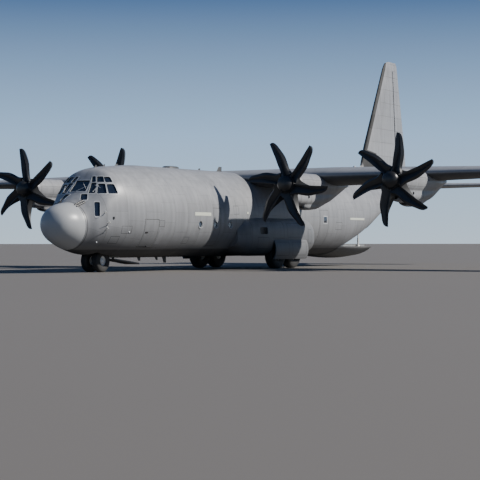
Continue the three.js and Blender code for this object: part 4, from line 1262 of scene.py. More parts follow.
# name, hub X and Z, direction of the blades at rest, Y where the nacelle ends
engineTable = [("port_outer", 10190, 3976, 12, 16480), ("port_inner", 4950, 3893, 40, 16700),
               ("starboard_inner", -4950, 3893, 25, 16700), ("starboard_outer", -10190, 3976, 55, 16480)]
nacelle = {
    # rows of y, half width, crown, waist and keel from the hub's height, and the section's powers
    "barrel": [(11250, 430, 430, 0, -430, 2, 2), (11500, 520, 510, 0, -560, 2, 2),
               (12300, 560, 545, 0, -620, 2, 2), (14500, 560, 545, 0, -560, 2, 2),
               (15900, 420, 400, 0, -120, 2, 2), (16700, 200, 300, 60, 0, 2, 2)],
    "chin": [(11330, 330, -250, -620, -900, 2, 2), (11600, 390, -200, -640, -960, 2, 2),
             (12600, 430, -150, -650, -990, 2, 2), (14200, 430, -100, -500, -880, 2, 2),
             (15600, 300, 0, -200, -420, 2, 2), (16500, 160, 200, 0, -60, 2, 2)],
    "cooler": [(12150, 260, -700, -900, -1080, 2.4, 2), (12600, 310, -650, -920, -1150, 2.4, 2),
               (13400, 300, -620, -880, -1110, 2.4, 2), (14300, 180, -600, -780, -900, 2.4, 2)],
    "voxel": 34, "melt": 6, "meltShare": 0.6, "step": 110, "sides": 56, "taper": (14500, 16700),
    # where the intake's bore starts and ends, its height from the hub and its radius
    "intake": (11000, 11750, -620, 215), "shaft": (11300, 150),
    # the cooler's mouth: half width, first and last y, low and high
    "coolerMouth": (190, 12000, 12500, -1070, -995),
}
propeller = {"y": 11040, "blades": 6, "drumRadius": 400, "drumEdge": 15, "drumLength": 380,
             "spinnerLength": 300, "spinnerRadius": 398}
bladeTable = [(330, 240, 0, 58, 0.32), (620, 330, 20, 50, 0.16), (1150, 410, 40, 37, 0.1),
              (1800, 310, -60, 26, 0.06), (2000, 215, -125, 23.5, 0.06), (2057, 130, -170, 22, 0.06)]


cowlLines = {"rings": (11.62, 12.55, 13.35), "width": 0.014, "belts": ((3.72, 0.014), (4.12, 0.012)),
             "rivetRow": 11.655, "rivetStep": 0.06}


def nacelleSeams(x, y, z):
    look = cowlLines
    low, high = (z.stroke(*belt) for belt in look["belts"])
    belts = low.mostly(high) * y.between(look["rings"][0], look["rings"][-1])
    rivet = dots(z.fold(look["rivetStep"] / 2), (y - look["rivetRow"]).size(), 0.011)
    return strokes(y, look["rings"], look["width"]).mostly(belts), rivet, y.floor(), (z * 2.0).floor()


cowlPaint = paint("cowl_paint", nacelleSeams, lowDirt=0.0, flow=0.3, cloud=0.18)
bladePaint = plain("blade_paint", (0.028, 0.029, 0.031), 0.42, vary=0.4, scale=2.0, depth=0.3)


def nacelleBody(x, z, tailEnd):
    parts = []
    taper, end = nacelle["taper"]
    for key in ("barrel", "chin", "cooler"):
        rowAt = smoothTable(nacelle[key])
        first, last = nacelle[key][0][0], nacelle[key][-1][0]
        rings = []
        for y in np.linspace(first, last, int((last - first) / nacelle["step"])):
            s = dict(zip(hullColumns, rowAt(y)))
            for name in ("crown", "waist", "keel"):
                s[name] += z
            at = y if y < taper else blend(taper, tailEnd, (y - taper) / (end - taper))
            rings.append(oval(x, at, s, nacelle["sides"]))
        parts.append(loft(key, rings))
    body = unite(*parts)
    # the three shapes melt into each other
    grid = body.modifiers.new("grid", "REMESH")
    grid.mode = "VOXEL"
    grid.voxel_size = nacelle["voxel"] * model["scale"]
    soft = body.modifiers.new("soft", "SMOOTH")
    soft.iterations = nacelle["melt"]
    soft.factor = nacelle["meltShare"]
    return settle(body)


def makeNacelles():
    y0, y1, down, radius = nacelle["intake"]
    half, mouth0, mouth1, low, high = nacelle["coolerMouth"]
    shaft, shaftRadius = nacelle["shaft"]
    for name, x, z, _, tailEnd in engineTable[:2]:
        body = nacelleBody(x, z, tailEnd)
        wingCutter = centreWing(model["gap"]) if x < wing["joinX"] else outerWing(model["gap"])
        carve(body, rod((x, y0, z + down), (x, y1, z + down), radius, sides=48),
              block(x - half, x + half, mouth0, mouth1, z + low, z + high), wingCutter)
        unite(body, rod((x, shaft, z), (x, propeller["y"] + propeller["drumLength"] / 2 + 1, z), shaftRadius))
        opposite = name.replace("port", "starboard")
        other = mirrored(body, f"nacelle_{opposite}_skin")
        for piece, node in ((body, name), (other, opposite)):
            dress(piece, airframe, cowlPaint, [f"nacelle_{node}"], "airframe_paint", sharp=38)


def bladeMesh():
    rowAt = smoothTable(bladeTable)
    section = aerofoil(-0.5, 1.0, 1.0, steps=12)
    rings = []
    for radius in np.concatenate((np.linspace(330, 1900, 26), np.linspace(1925, 2057, 8))):
        _, chord, sweep, twist, thick = rowAt(radius)
        a = math.radians(twist)
        u, v = section[:, 0] * chord, section[:, 1] * thick * chord * 1.02
        rings.append(np.stack((sweep + u * math.cos(a) - v * math.sin(a), u * math.sin(a) + v * math.cos(a),
                               np.full(len(u), radius)), 1))
    return loft("blade", rings)


def makePropellers():
    blade = bladeMesh()
    half, length, edge = propeller["drumLength"] / 2, propeller["spinnerLength"], propeller["drumEdge"]
    full, spinner = propeller["drumRadius"], propeller["spinnerRadius"]
    drumShape = [(-half, 0), (-half, full - edge), (-half + edge, full), (half - 20, full),
                 (half, full - edge), (half, 0)]
    spinnerShape = [(0, 0), (0, spinner)]
    spinnerShape += [(-length * math.sin(a), spinner * math.cos(a) ** 0.8)
                     for a in np.linspace(0.05, math.pi / 2, 22)]
    for name, x, z, turn, _ in engineTable:
        body = f"propeller_{name}_assembly"
        hub = (x, propeller["y"], z)
        drum = lathe("drum", drumShape, hub, (0, 1, 0), 72)
        blades = []
        for k in range(propeller["blades"]):
            matrix = shiftBy(*hub) @ turnAbout((0, 0, 0), (0, 1, 0), turn + k * 360 / propeller["blades"])
            blades.append(place(duplicate(blade, "blade"), matrix))
        dress(unite(drum, *blades), body, bladePaint, [f"propeller_{name}"], "blade_composite", sharp=35)
        front = (x, propeller["y"] - half - model["gap"], z)
        cone = lathe(f"spinner_{name}_skin", spinnerShape, front, (0, 1, 0), 72)
        dress(cone, body, blackPaint, [f"spinner_{name}"], "spinner_paint", sharp=40)
    discard(blade)


makeNacelles()
makePropellers()
print("stage: engines made")

# copies of one small shape on many points, by geometry nodes

def makeScatterTree():
    tree = bpy.data.node_groups.new("scatter", "GeometryNodeTree")
    for name, kind in (("Points", "Geometry"), ("Template", "Object"), ("Finish", "Material")):
        tree.interface.new_socket(name, in_out="INPUT", socket_type=f"NodeSocket{kind}")
    tree.interface.new_socket("Copies", in_out="OUTPUT", socket_type="NodeSocketGeometry")
    inputs = tree.nodes.new("NodeGroupInput")
    output = tree.nodes.new("NodeGroupOutput")
    shape = tree.nodes.new("GeometryNodeObjectInfo")
    up = tree.nodes.new("GeometryNodeInputNamedAttribute")
    up.data_type = "FLOAT_VECTOR"
    up.inputs["Name"].default_value = "up"
    turn = tree.nodes.new("FunctionNodeAlignRotationToVector")
    turn.axis = "Z"
    copies = tree.nodes.new("GeometryNodeInstanceOnPoints")
    real = tree.nodes.new("GeometryNodeRealizeInstances")
    finish = tree.nodes.new("GeometryNodeSetMaterial")
    for source, out, target, into in (
            (inputs, "Points", copies, "Points"), (inputs, "Template", shape, "Object"),
            (shape, "Geometry", copies, "Instance"), (up, "Attribute", turn, "Vector"),
            (turn, "Rotation", copies, "Rotation"), (copies, "Instances", real, 0),
            (real, 0, finish, "Geometry"), (inputs, "Finish", finish, "Material"),
            (finish, "Geometry", output, "Copies")):
        tree.links.new(source.outputs[out], target.inputs[into])
    return tree


scatterTree = makeScatterTree()


def template(profile, sides=6):
    # a small lathe at the origin with its axis up
    return lathe("template", profile, middle, (0, 0, 1), sides)


def scatter(name, shape, points, axis, finish):
    points = np.asarray(points, float)
    mesh = bpy.data.meshes.new(name)
    mesh.from_pydata(toFrame(points).tolist(), [], [])
    up = mesh.attributes.new("up", "FLOAT_VECTOR", "POINT")
    up.data.foreach_set("vector", np.broadcast_to(np.asarray(axis, float), points.shape).ravel())
    piece = addObject(name, mesh)
    step = piece.modifiers.new("scatter", "NODES")
    step.node_group = scatterTree
    values = {"Template": shape, "Finish": finish}
    for item in scatterTree.interface.items_tree:
        if item.name in values:
            step[item.identifier] = values[item.name]
    settle(piece)
    discard(shape)
    return piece


def fitCopies(name, shape, points, axis, finish, slot, body=airframe):
    return dress(scatter(name, shape, points, axis, finish), body, finish, slot=slot)


def bolts(name, points, axis, radius, height, body, finish, slot):
    shape = template([(-2, 0), (-2, radius), (height * 0.8, radius), (height, radius * 0.8), (height, 0)])
    return fitCopies(name, shape, points, axis, finish, slot, body)


# cockpit windows and flight deck

portholeLook = {
    # distance from the skin and radius, round each outline
    "ring": [(0, 152), (0, 176), (8, 174), (8, 152)], "ringSink": 4, "ringLean": 0.12,
    "seal": [(-44, 132), (-44, 149), (-30, 149), (-30, 134)],
    "pane": [(-46, 0), (-46, 147), (-36, 147), (-36, 0)],
}


def makePortholes():
    look, z = portholeLook, portholes["z"]
    rings, panes = [], []
    for y in portholes["y"]:
        for side in (1, -1):
            skin = side * skinX(y, z)
            rings.append(hoop("ring", look["ring"], (skin - side * look["ringSink"], y, z),
                              (side, 0, look["ringLean"]), 40))
            rings.append(hoop("seal", look["seal"], (skin, y, z), (side, 0, 0), 40))
            panes.append(lathe("pane", look["pane"], (skin, y, z), (side, 0, 0), 40))
    fit("porthole_rings", rings, framePaint, "airframe_paint")
    fit("porthole_panes", panes, glass, "window_glass")


def makeWindows():
    panes, seals = [], []
    depth, thick, wide, seal = (windowLook[key] for key in ("paneDepth", "paneThick", "wide", "seal"))
    for window, side in windowsBothSides:
        corners, normal = windowCorners(*window[1:], side)
        panes.append(loft("pane", [windowRing(corners, normal, wide - 2, d)
                                   for d in (-depth - thick, -depth)]))
        seals.append(ringOf("seal", [
            windowRing(corners, normal, wide - grow, lift - depth)
            for grow, lift in ((1, 1), (seal, 1), (seal, 9), (1, 14))]))
    frame = unite(*[windowPlug(window, side, windowLook["frame"]) for window, side in windowsBothSides])
    meet(frame, hullLoft("surround", -windowLook["proud"], 1250, 5000))
    plugs = [windowPlug(window, side, wide) for window, side in windowsBothSides]
    carve(frame, hullLoft("under", 0, 1200, 5050), *plugs)
    dress(gather("window_panes", panes), airframe, glass, ["cockpit_glazing"], "window_glass")
    fit("window_seals", seals, sealRubber, "tyre_rubber")
    dress(frame, airframe, framePaint, slot="airframe_paint")
    makePortholes()


cockpit = {
    # y, and z over the deck, round the panel and the console
    "panel": [(2420, 0), (2640, 0), (2560, 640), (2420, 760), (2300, 760), (2300, 700)], "panelHalf": 1000,
    "console": [(2650, 0), (3350, 0), (3350, 420), (2650, 560)], "consoleHalf": 170,
    "seats": (560, -560), "seatY": 3050, "screens": (-800, -560, -320, 320, 560, 800),
    # x, x, y, y, z, z of each block of a seat, from its place on the deck
    "seat": [(-240, 240, 0, 470, 330, 440), (-215, 215, 20, 440, 440, 500), (-110, 110, 120, 360, 1, 330),
             (-230, 230, 470, 560, 400, 1020), (-130, 130, 480, 550, 1040, 1200),
             (-290, -250, 80, 460, 560, 610), (250, 290, 80, 460, 560, 610)],
}


def makeFlightDeck():
    look, top, end, thick = cockpit, flightDeck["top"], flightDeck["end"], flightDeck["thick"]
    inside = hullLoft("inside", fuselage["wall"] + 8, fuselage["holdStart"] + 5, end + 200, 64)
    shell = meet(unite(block(-2300, 2300, flightDeck["start"], end, top - thick, top),
                       block(-2300, 2300, end - 90, end, top - thick, 4600)), inside)
    carve(shell, roundedBlock(-350, 350, end - 200, end + 10, top + 20, top + 1750, 80))
    parts = [shell]
    for key in ("panel", "console"):
        half = look[key + "Half"]
        parts.append(slab(key, [(y, top + z) for y, z in look[key]], -half, half))
    for x in look["seats"]:
        parts += blocksAt((x, look["seatY"], top), look["seat"])
    for x in look["seats"]:
        parts += [rod((x, 2760, top), (x, 2720, top + 560), 22, sides=12),
                  rod((x - 130, 2715, top + 570), (x + 130, 2715, top + 570), 16, sides=12)]
    dress(gather("flight_deck_fit", parts), airframe, cabinPaint, ["flight_deck"], "cockpit_trim", bevel=6)
    screens = [block(x - 95, x + 95, 2575, 2600, top + 330, top + 520) for x in look["screens"]]
    fit("cockpit_screens", screens, blackPaint, "cockpit_trim")


# cargo floor, hold frames, ramp and aft door

floorLook = {
    "rollerRows": (-1150, -700, 700, 1150), "rollerPitch": 254, "rollerRadius": 34, "rollerHalf": 70,
    "rollerUp": 38, "railOut": 88, "railHalf": 6, "railHeight": 62, "curbX": 1420, "curbHalf": 30,
    "curbHeight": 120, "start": 6000, "ringPitch": 508, "ringX": 930,
    # distance along the axis and radius, round a tie-down ring
    "ring": [(-5, 34), (-5, 46), (5, 46), (5, 34)],
}


def rollerTemplate():
    r, half = floorLook["rollerRadius"], floorLook["rollerHalf"]
    return template([(-half - 8, 0), (-half - 8, 10), (-half, 10), (-half, r), (half, r), (half, 10),
                     (half + 8, 10), (half + 8, 0)], 12)


holdLook = {
    # distance along the hold and depth from the skin, round a frame
    "frame": [(-25, 148), (25, 148), (25, 205), (-25, 205)], "framePitch": 508, "frames": (6100, 22400),
    "pipes": [(1500, 3560), (1380, 3700), (-1500, 3560)], "pipeRadius": 26,
}


def rollerTracks(top, start, end, first, last, curb):
    # rails beside each row, a curb at both edges, and the places of the rollers
    look = floorLook
    rails, spots = [], []
    for x in look["rollerRows"]:
        for side in (-1, 1):
            at = x + side * look["railOut"]
            rails.append(block(at - look["railHalf"], at + look["railHalf"], start, end, top + 1,
                               top + look["railHeight"]))
        spots += [(x, y, top + look["rollerUp"]) for y in np.arange(first, last, look["rollerPitch"])]
    for side in (-1, 1):
        at = side * curb["x"]
        rails.append(block(at - look["curbHalf"], at + look["curbHalf"], start, end, top + 1,
                           top + curb["height"]))
    return rails, spots


def makeFloor():
    top, half = cargoFloor["top"], cargoFloor["halfWidth"]
    end = rampHinge["y"] - 110
    base = meet(block(-half, half, cargoFloor["start"], end, top - cargoFloor["thick"], top),
                hullLoft("inside", fuselage["wall"] + 1, fuselage["noseEnd"] + 5, 23500,
                         fuselage["holdSides"]))
    y, z, r = rampHinge["y"], rampHinge["z"], rampHinge["radius"]
    for x in ramp["lugs"]:
        x0, x1 = x - ramp["lugHalf"], x + ramp["lugHalf"]
        unite(base, block(x0, x1, end - 100, y, z - r, z + r), rod((x0, y, z), (x1, y, z), r))
    dress(base, airframe, deckPlate, ["cargo_floor"], "floor_metal")
    look = floorLook
    rails, spots = rollerTracks(top, look["start"], end - 20, look["start"] + 100, end - 60,
                                {"x": look["curbX"], "height": look["curbHeight"]})
    fit("floor_rails", rails, deckMetal, "floor_metal")
    fitCopies("floor_rollers", rollerTemplate(), spots, (1, 0, 0), steel, "floor_metal")
    rings = [(side * look["ringX"] * share, y, top + 4) for side in (-1, 1) for share in (0.32, 1.0)
             for y in np.arange(6200, end - 100, look["ringPitch"])]
    shape = hoop("template", look["ring"], middle, (0, 0, 1), 14)
    fitCopies("tie_down_rings", shape, rings, (0, 0, 1), darkMetal, "floor_metal")
    section = hullAt(12000)
    frame = ringOf("template", [oval(0, middle[1] + d, section, 72, inset) for d, inset in holdLook["frame"]])
    places = [(0, y, 0) for y in np.arange(*holdLook["frames"], holdLook["framePitch"])]
    fitCopies("hold_frames", frame, places, (0, 0, 1), innerPaint, "cockpit_trim")
    pipes = [rod((x, 6000, z), (x, 22000, z), holdLook["pipeRadius"], sides=10) for x, z in holdLook["pipes"]]
    fit("hold_pipes", pipes, steel, "floor_metal")


rampLook = {
    "curbX": 1330, "curbHeight": 95, "pads": (-1000, -500, 0, 500, 1000), "padHalf": 190,
    # foot, middle and head of a port strut as x, y, z, with the foot's z from the ramp
    "strutFoot": (1440, 25050, 2), "strutMiddle": (1455, 25025, 1480), "strutHead": (1470, 25000, 1900),
    "strutRadii": (34, 52),
}


def makeRamp():
    look, leafBody = rampLook, "cargo_ramp_leaf"
    hingeY, low = rampHinge["y"], cargoFloor["top"] - ramp["deep"]
    wedge = slab("wedge", [(hingeY + rampRake, low), *rampTop, (rampTop[1][0], low)], -farOut, farOut)
    leaf = meet(hullLoft("leaf", 0, 21500, 27000), wedge)
    slot, back = ramp["lugHalf"] + model["gap"], hingeY + rampHinge["radius"] + model["play"]
    for x in ramp["lugs"]:
        carve(leaf, block(x - slot, x + slot, hingeY - 300, back, 0, 2000))
    place(leaf, turnAbout((0, hingeY, rampHinge["z"]), (1, 0, 0), -ramp["closedAngle"]))
    dress(leaf, leafBody, rampPaint, ["cargo_ramp"], "airframe_paint")
    top = rampHinge["z"] + rampHinge["radius"]
    start, end = hingeY + 90, hingeY + ramp["length"] - 40
    parts, spots = rollerTracks(top, start, end, start + 60, end - 30,
                                {"x": look["curbX"], "height": look["curbHeight"]})
    parts += [block(x - look["padHalf"], x + look["padHalf"], end + 6, end + 36, top - 150, top - 8)
              for x in look["pads"]]
    fit("ramp_rails", parts, deckMetal, "floor_metal", leafBody)
    fitCopies("ramp_rollers", rollerTemplate(), spots, (1, 0, 0), steel, "floor_metal", leafBody)
    struts = []
    (footX, footY, lift), (midX, midY, midZ), (headX, headY, headZ) = (
        look[key] for key in ("strutFoot", "strutMiddle", "strutHead"))
    thin, wide = look["strutRadii"]
    for side in (-1, 1):
        foot = (side * footX, footY, top + lift)
        struts += [rod(foot, (side * headX, headY, headZ), thin, sides=16),
                   rod(foot, (side * midX, midY, midZ), wide, sides=16),
                   block(side * footX - 60, side * footX + 60, footY - 90, footY + 90, top + 1, top + 70)]
    fit("ramp_struts", struts, gearPaint, "gear_paint", leafBody)


def makeRearDoor():
    y, z, r, half = (rearDoor[key] for key in ("hingeY", "hingeZ", "radius", "armHalf"))
    leaf = carve(hullLoft("leaf", 0, 25000, 30000), hullLoft("inner", 42, 24900, 30100))
    meet(leaf, rearPrism(rearDoor["front"], y - 10, 0))
    ribs = []
    for at in np.arange(26050, 28900, 480):
        rib = carve(hullLoft("rib", 41, at - 16, at + 16),
                    hullLoft("inner", rearDoor["thick"], at - 30, at + 30))
        ribs.append(meet(rib, rearPrism(rearDoor["front"], y - 10, -12)))
    for x in rearDoor["arms"]:
        x0, x1 = x - half, x + half
        arm = unite(block(x0, x1, y - 160, y - 12, 2900, z + r), block(x0, x1, y - 20, y, z - r, z + r),
                    rod((x0, y, z), (x1, y, z), r))
        ribs.append(meet(arm, hullLoft("hull", 0, 28000, 30000)))
    matrix = turnAbout((0, y, z), (1, 0, 0), -rearDoor["openAngle"])
    dress(place(leaf, matrix), "aft_cargo_door_leaf", hullPaint, ["aft_cargo_door"], "airframe_paint")
    whole = place(gather("rear_door_ribs", ribs), matrix)
    dress(whole, "aft_cargo_door_leaf", innerPaint, slot="cockpit_trim")


deckPlate = plain("deck_plate", (0.30, 0.30, 0.29), 0.5, metallic=0.35, vary=0.6, scale=1.2, grain=0.2,
                  depth=1.0)
# the ramp's marks are painted shade under the belly
rampPaint = paint("ramp_paint", None, color=(0.31, 0.315, 0.32), lowDirt=0.05, cloud=0.25, marks=belly)
gearPaint = plain("gear_paint", (0.66, 0.66, 0.63), 0.4, vary=0.35, scale=4.0)
wheelPaint = plain("wheel_paint", (0.62, 0.63, 0.62), 0.42, vary=0.5, scale=5.0)
chrome = plain("chrome_rod", (0.62, 0.62, 0.63), 0.12, metallic=1.0, vary=0.1)
makeWindows()
makeFlightDeck()
makeFloor()
makeRamp()
makeRearDoor()
print("stage: windows, decks and ramp made")

# landing gear with its fairings and doors

mainWheel = {
    "x": 2170, "y": (14738, 16262), "z": 691.4, "radius": 690, "width": 500, "rim": 270, "strutX": 1770,
    "grooves": (45, 120), "bore": 77, "bolt": (13, 16), "axleEnd": 210,
    # distance outwards and radius, along the outline of the hub's cap and round its collar
    "cap": [(212, 0), (212, 108), (226, 104), (238, 70), (243, 0)],
    "collar": [(186, 78), (186, 112), (214, 108), (214, 78)],
}
noseWheel = {
    "x": 285, "y": 3170, "z": 484.0, "radius": 483, "width": 330, "rim": 200, "grooves": (30, 80), "bore": 46,
    "bolt": (9, 12), "rimWidth": 0.9, "cap": [(90, 0), (90, 62), (118, 58), (128, 34), (131, 0)],
}
gearDoor = {
    "start": 13890, "end": 17090, "top": 1392, "bottom": 450, "x": 2590, "bulge": 140, "thick": 60,
    "skin": 22, "steps": 24, "ribs": 9, "ribHalf": 14, "edges": ((0, 2), (11, 13), (22, 24)),
    "arms": (14300, 15500, 16700),
}
fairing = {
    # rows of y, outer x, top and bottom
    "rows": [(11300, 2150, 2000, 1050), (12100, 2480, 2380, 700), (13300, 2600, 2470, 610),
             (17250, 2600, 2470, 610), (17950, 2500, 2360, 700), (18700, 2180, 2050, 950)],
    "middle": 1500, "vent": (12667, 13322, 1647, 1968), "slats": 7, "sides": 96,
}


fairingLines = {
    # y, y, z and z of each hatch and y of each seam, in metres
    "hatches": [(13.78, 14.88, 1.45, 2.28), (15.2, 16.7, 1.5, 2.2), (12.5, 13.45, 0.95, 1.5),
                (17.3, 17.75, 1.2, 1.9)],
    "seams": (13.6, 17.2, 12.1), "width": 0.014, "rivetStep": 0.06, "rivetPitch": 0.84, "rivetRow": 0.02,
    "rivet": 0.011,
}


def fairingSeams(x, y, z):
    look = fairingLines
    seam = strokes(y, look["seams"], look["width"])
    for hatch in look["hatches"]:
        seam = seam.mostly(outline(y, z, *hatch))
    across = (y.fold(look["rivetPitch"] / 2) - look["rivetRow"]).size()
    rivet = dots(z.fold(look["rivetStep"] / 2), across, look["rivet"])
    return seam, rivet, (y / 1.2).floor(), (z / 0.8).floor()


fairingPaint = paint("fairing_paint", fairingSeams, lowDirt=0.5, flow=0.3)


def tyreOutline(radius, width, rim, grooves):
    # half of the outline from bead to crown, as parts of the width and of the height above the rim
    shape = [(0.36, 0.006), (0.4, 0.03), (0.43, 0.1), (0.475, 0.22), (0.498, 0.38), (0.5, 0.5), (0.49, 0.64),
             (0.465, 0.78), (0.425, 0.88), (0.37, 0.945), (0.31, 0.985)]
    high = radius - rim
    half = [(s * width, rim + r * high) for s, r in shape]
    for s in sorted(grooves, reverse=True):
        half += [(s + 9, radius), (s + 6, radius - 12), (s - 6, radius - 12), (s - 9, radius)]
    return half + [(-s, r) for s, r in half[::-1]]


def rimOutline(width, rim, bore):
    half = [(0.37, bore), (0.37, bore + 34), (0.31, bore + 48), (0.2, rim * 0.6), (0.2, rim * 0.82),
            (0.31, rim * 0.9), (0.335, rim), (0.28, rim + 1), (0.26, rim - 8)]
    half = [(s * width, r) for s, r in half]
    return half + [(-s, r) for s, r in half[::-1]]


def makeTyre(name, look, x, y, body, node):
    profile = tyreOutline(look["radius"], look["width"], look["rim"], look["grooves"])
    tyre = hoop(name, profile, (x, y, look["z"]), (1, 0, 0), 96)
    dress(tyre, body, tyreRubber, [node], "tyre_rubber", sharp=45)


def wheelRim(look, x, y, width, face):
    # face says which way the wheel's outer side looks
    centre = np.array((x, y, look["z"]))
    rim = hoop("rim", rimOutline(width, look["rim"], look["bore"]), centre, (1, 0, 0), 72)
    holes = []
    for k in range(9):
        a = 2 * math.pi * (k + 0.5) / 9
        at = centre + np.array((0, math.cos(a), math.sin(a))) * look["rim"] * 0.71
        holes.append(rod(at - (width, 0, 0), at + (width, 0, 0), look["rim"] * 0.085, sides=14))
    carve(rim, *holes)
    reach = look["rim"] * 0.55
    ring = [centre + (face * width * 0.2, reach * math.cos(a), reach * math.sin(a))
            for a in np.arange(12) * math.pi / 6]
    return rim, ring


def makeMainWheels():
    look = mainWheel
    for side, sign in bothSides:
        for at, y in zip(("front", "rear"), look["y"]):
            body = f"main_wheel_{side}_{at}_assembly"
            x = sign * look["x"]
            makeTyre(f"tyre_{side}_{at}", look, x, y, body, f"main_tyre_{side}_{at}")
            rim, ring = wheelRim(look, x, y, look["width"], sign)
            hub = [make(key, look[key], (x, y, look["z"]), (sign, 0, 0), 32)
                   for key, make in (("cap", lathe), ("collar", hoop))]
            dress(gather(f"wheel_{side}_{at}", [rim, *hub]), body, wheelPaint, [f"main_wheel_{side}_{at}"],
                  "wheel_paint")
            bolts(f"wheel_bolts_{side}_{at}", ring, (sign, 0, 0), *look["bolt"], body, darkMetal,
                  "wheel_paint")


def makeNoseWheels():
    body, look = "nose_wheel_pair", noseWheel
    parts, spots, axes = [], [], []
    y, z = look["y"], look["z"]
    for side, sign in bothSides:
        x = sign * look["x"]
        makeTyre(f"nose_tyre_{side}_look", look, x, y, body, f"nose_tyre_{side}")
        rim, ring = wheelRim(look, x, y, look["width"] * look["rimWidth"], sign)
        parts += [rim, lathe("cap", look["cap"], (x, y, z), (sign, 0, 0), 32)]
        spots += ring
        axes += [(sign, 0, 0)] * len(ring)
    parts.append(rod((-look["x"] - 100, y, z), (look["x"] + 100, y, z), 45))
    dress(gather("nose_wheel_look", parts), body, wheelPaint, ["nose_wheels"], "wheel_paint")
    bolts("nose_wheel_bolts", spots, axes, *look["bolt"], body, darkMetal, "wheel_paint")


def mainLeg(y):
    # one leg's painted parts and its bright rods, on the port side
    x, z, inner = mainWheel["strutX"], mainWheel["z"], mainWell["inner"] + 1
    wheelIn = mainWheel["x"] - mainWheel["width"] * 0.4
    painted = [rod((x, y, low), (x, y, high), radius) for low, high, radius in (
        (1300, 2240, 112), (1250, 1310, 128), (2100, 2150, 128))]
    painted += [
        rod((x - 60, y, z), (mainWheel["x"] + mainWheel["axleEnd"], y, z), 75),
        rod((x, y, z), (wheelIn - 1, y, z), 110), rod((x, y, z - 110), (x, y, z + 190), 104),
        hoop("flange", [(0, 80), (0, 190), (26, 190), (26, 80)], (wheelIn - 32, y, z), (1, 0, 0), 40),
        block(inner, x, y - 90, y + 90, 1450, 1600), block(inner, x, y - 90, y + 90, 2050, 2200),
        slab("link", [(y + 80, 1330), (y + 260, 1120), (y + 240, 1080), (y + 70, 1270)], x - 40, x + 40),
        slab("link", [(y + 70, z + 90), (y + 250, 1090), (y + 230, 1130), (y + 60, z + 150)], x - 30, x + 30),
    ]
    bright = [rod((x, y, z - 60), (x, y, 1300), 84),
              rod((x + 96, y - 70, z + 60), (x + 118, y - 90, 1500), 12, sides=10)]
    return painted, bright


def makeMainLegs():
    x = mainWheel["strutX"]
    first, last = mainWheel["y"]
    (pieces, rods), (morePieces, moreRods) = mainLeg(first), mainLeg(last)
    pieces += [*morePieces, block(x - 60, x + 60, first, last, 1320, 1440),
               rod((x, first + 110, 1560), (x, last - 110, 1980), 42, sides=16)]
    rods += moreRods
    for side, sign in bothSides:
        legs = gatherSide(f"legs_{side}_look", pieces, sign)
        dress(legs, airframe, gearPaint, [f"main_gear_legs_{side}"], "gear_paint")
        dress(gatherSide(f"pistons_{side}", rods, sign), airframe, chrome, slot="gear_paint")
    for piece in pieces + rods:
        discard(piece)


taxiLamp = {
    "x": (-150, 150), "ahead": 118, "z": 1210,
    # distance forwards and radius
    "body": [(0, 0), (0, 58), (34, 62), (60, 40), (60, 0)],
    "lens": [(60.5, 0), (60.5, 54), (66, 40), (69, 0)],
}


def makeNoseLeg():
    y, z, top = noseWheel["y"], noseWheel["z"], noseWell["top"] - 1
    leg = unite(rod((0, y, 900), (0, y, top), 100), rod((0, y, 880), (0, y, 940), 118),
                rod((0, y, 1150), (0, y, 1230), 116))
    carve(leg, rod((0, y, 800), (0, y, 1300), 59.5, sides=48))
    parts = [leg, block(-380, 380, 3850, 3950, 1380, top)]
    parts += [rod((side * 80, y + 60, 1180), (side * 330, 3900, 1440), 35) for side in (-1, 1)]
    parts += [rod((side * 95, y - 60, 1040), (side * 95, y + 200, 1040), 34) for side in (-1, 1)]
    parts.append(block(-120, 120, y - 130, y - 100, 960, 1100))
    dress(gather("nose_leg_look", parts), airframe, gearPaint, ["nose_gear_leg"], "gear_paint")
    hub = noseWheel["x"] - noseWheel["width"] * noseWheel["rimWidth"] * 0.4 - 1
    fork = unite(rod((0, y, z), (0, y, 800), 74), rod((-hub, y, z), (hub, y, z), 90),
                 slab("link", [(y + 60, 500), (y + 260, 700), (y + 240, 740), (y + 50, 620)], -45, 45))
    carve(fork, rod((-400, y, z), (400, y, z), 47.5, sides=40))
    link = slab("link", [(y + 62, 860), (y + 250, 730), (y + 240, 700), (y + 60, 800)], -34, 34)
    lug = block(-20, 20, y - 150, y - 70, 560, 620)
    dress(gather("nose_fork_look", [fork, link, lug]), "nose_fork", gearPaint, ["nose_gear_fork"],
          "gear_paint")
    dress(rod((0, y, 780), (0, y, 1290), 57, sides=48), "nose_fork", chrome, slot="gear_paint")
    look = taxiLamp
    for name, key, finish, slot in (("taxi_lamps", "body", darkMetal, "gear_paint"),
                                    ("taxi_lenses", "lens", lampGlass, "window_glass")):
        lamps = [lathe(key, look[key], (x, y - look["ahead"], look["z"]), (0, -1, 0), 28) for x in look["x"]]
        fit(name, lamps, finish, slot)


noseDoor = {"low": 300, "high": 560, "thick": 45, "half": 400, "start": 4000, "end": 5900, "ribHalf": 12,
            "hinges": (-250, 250), "hingeHalf": 25}


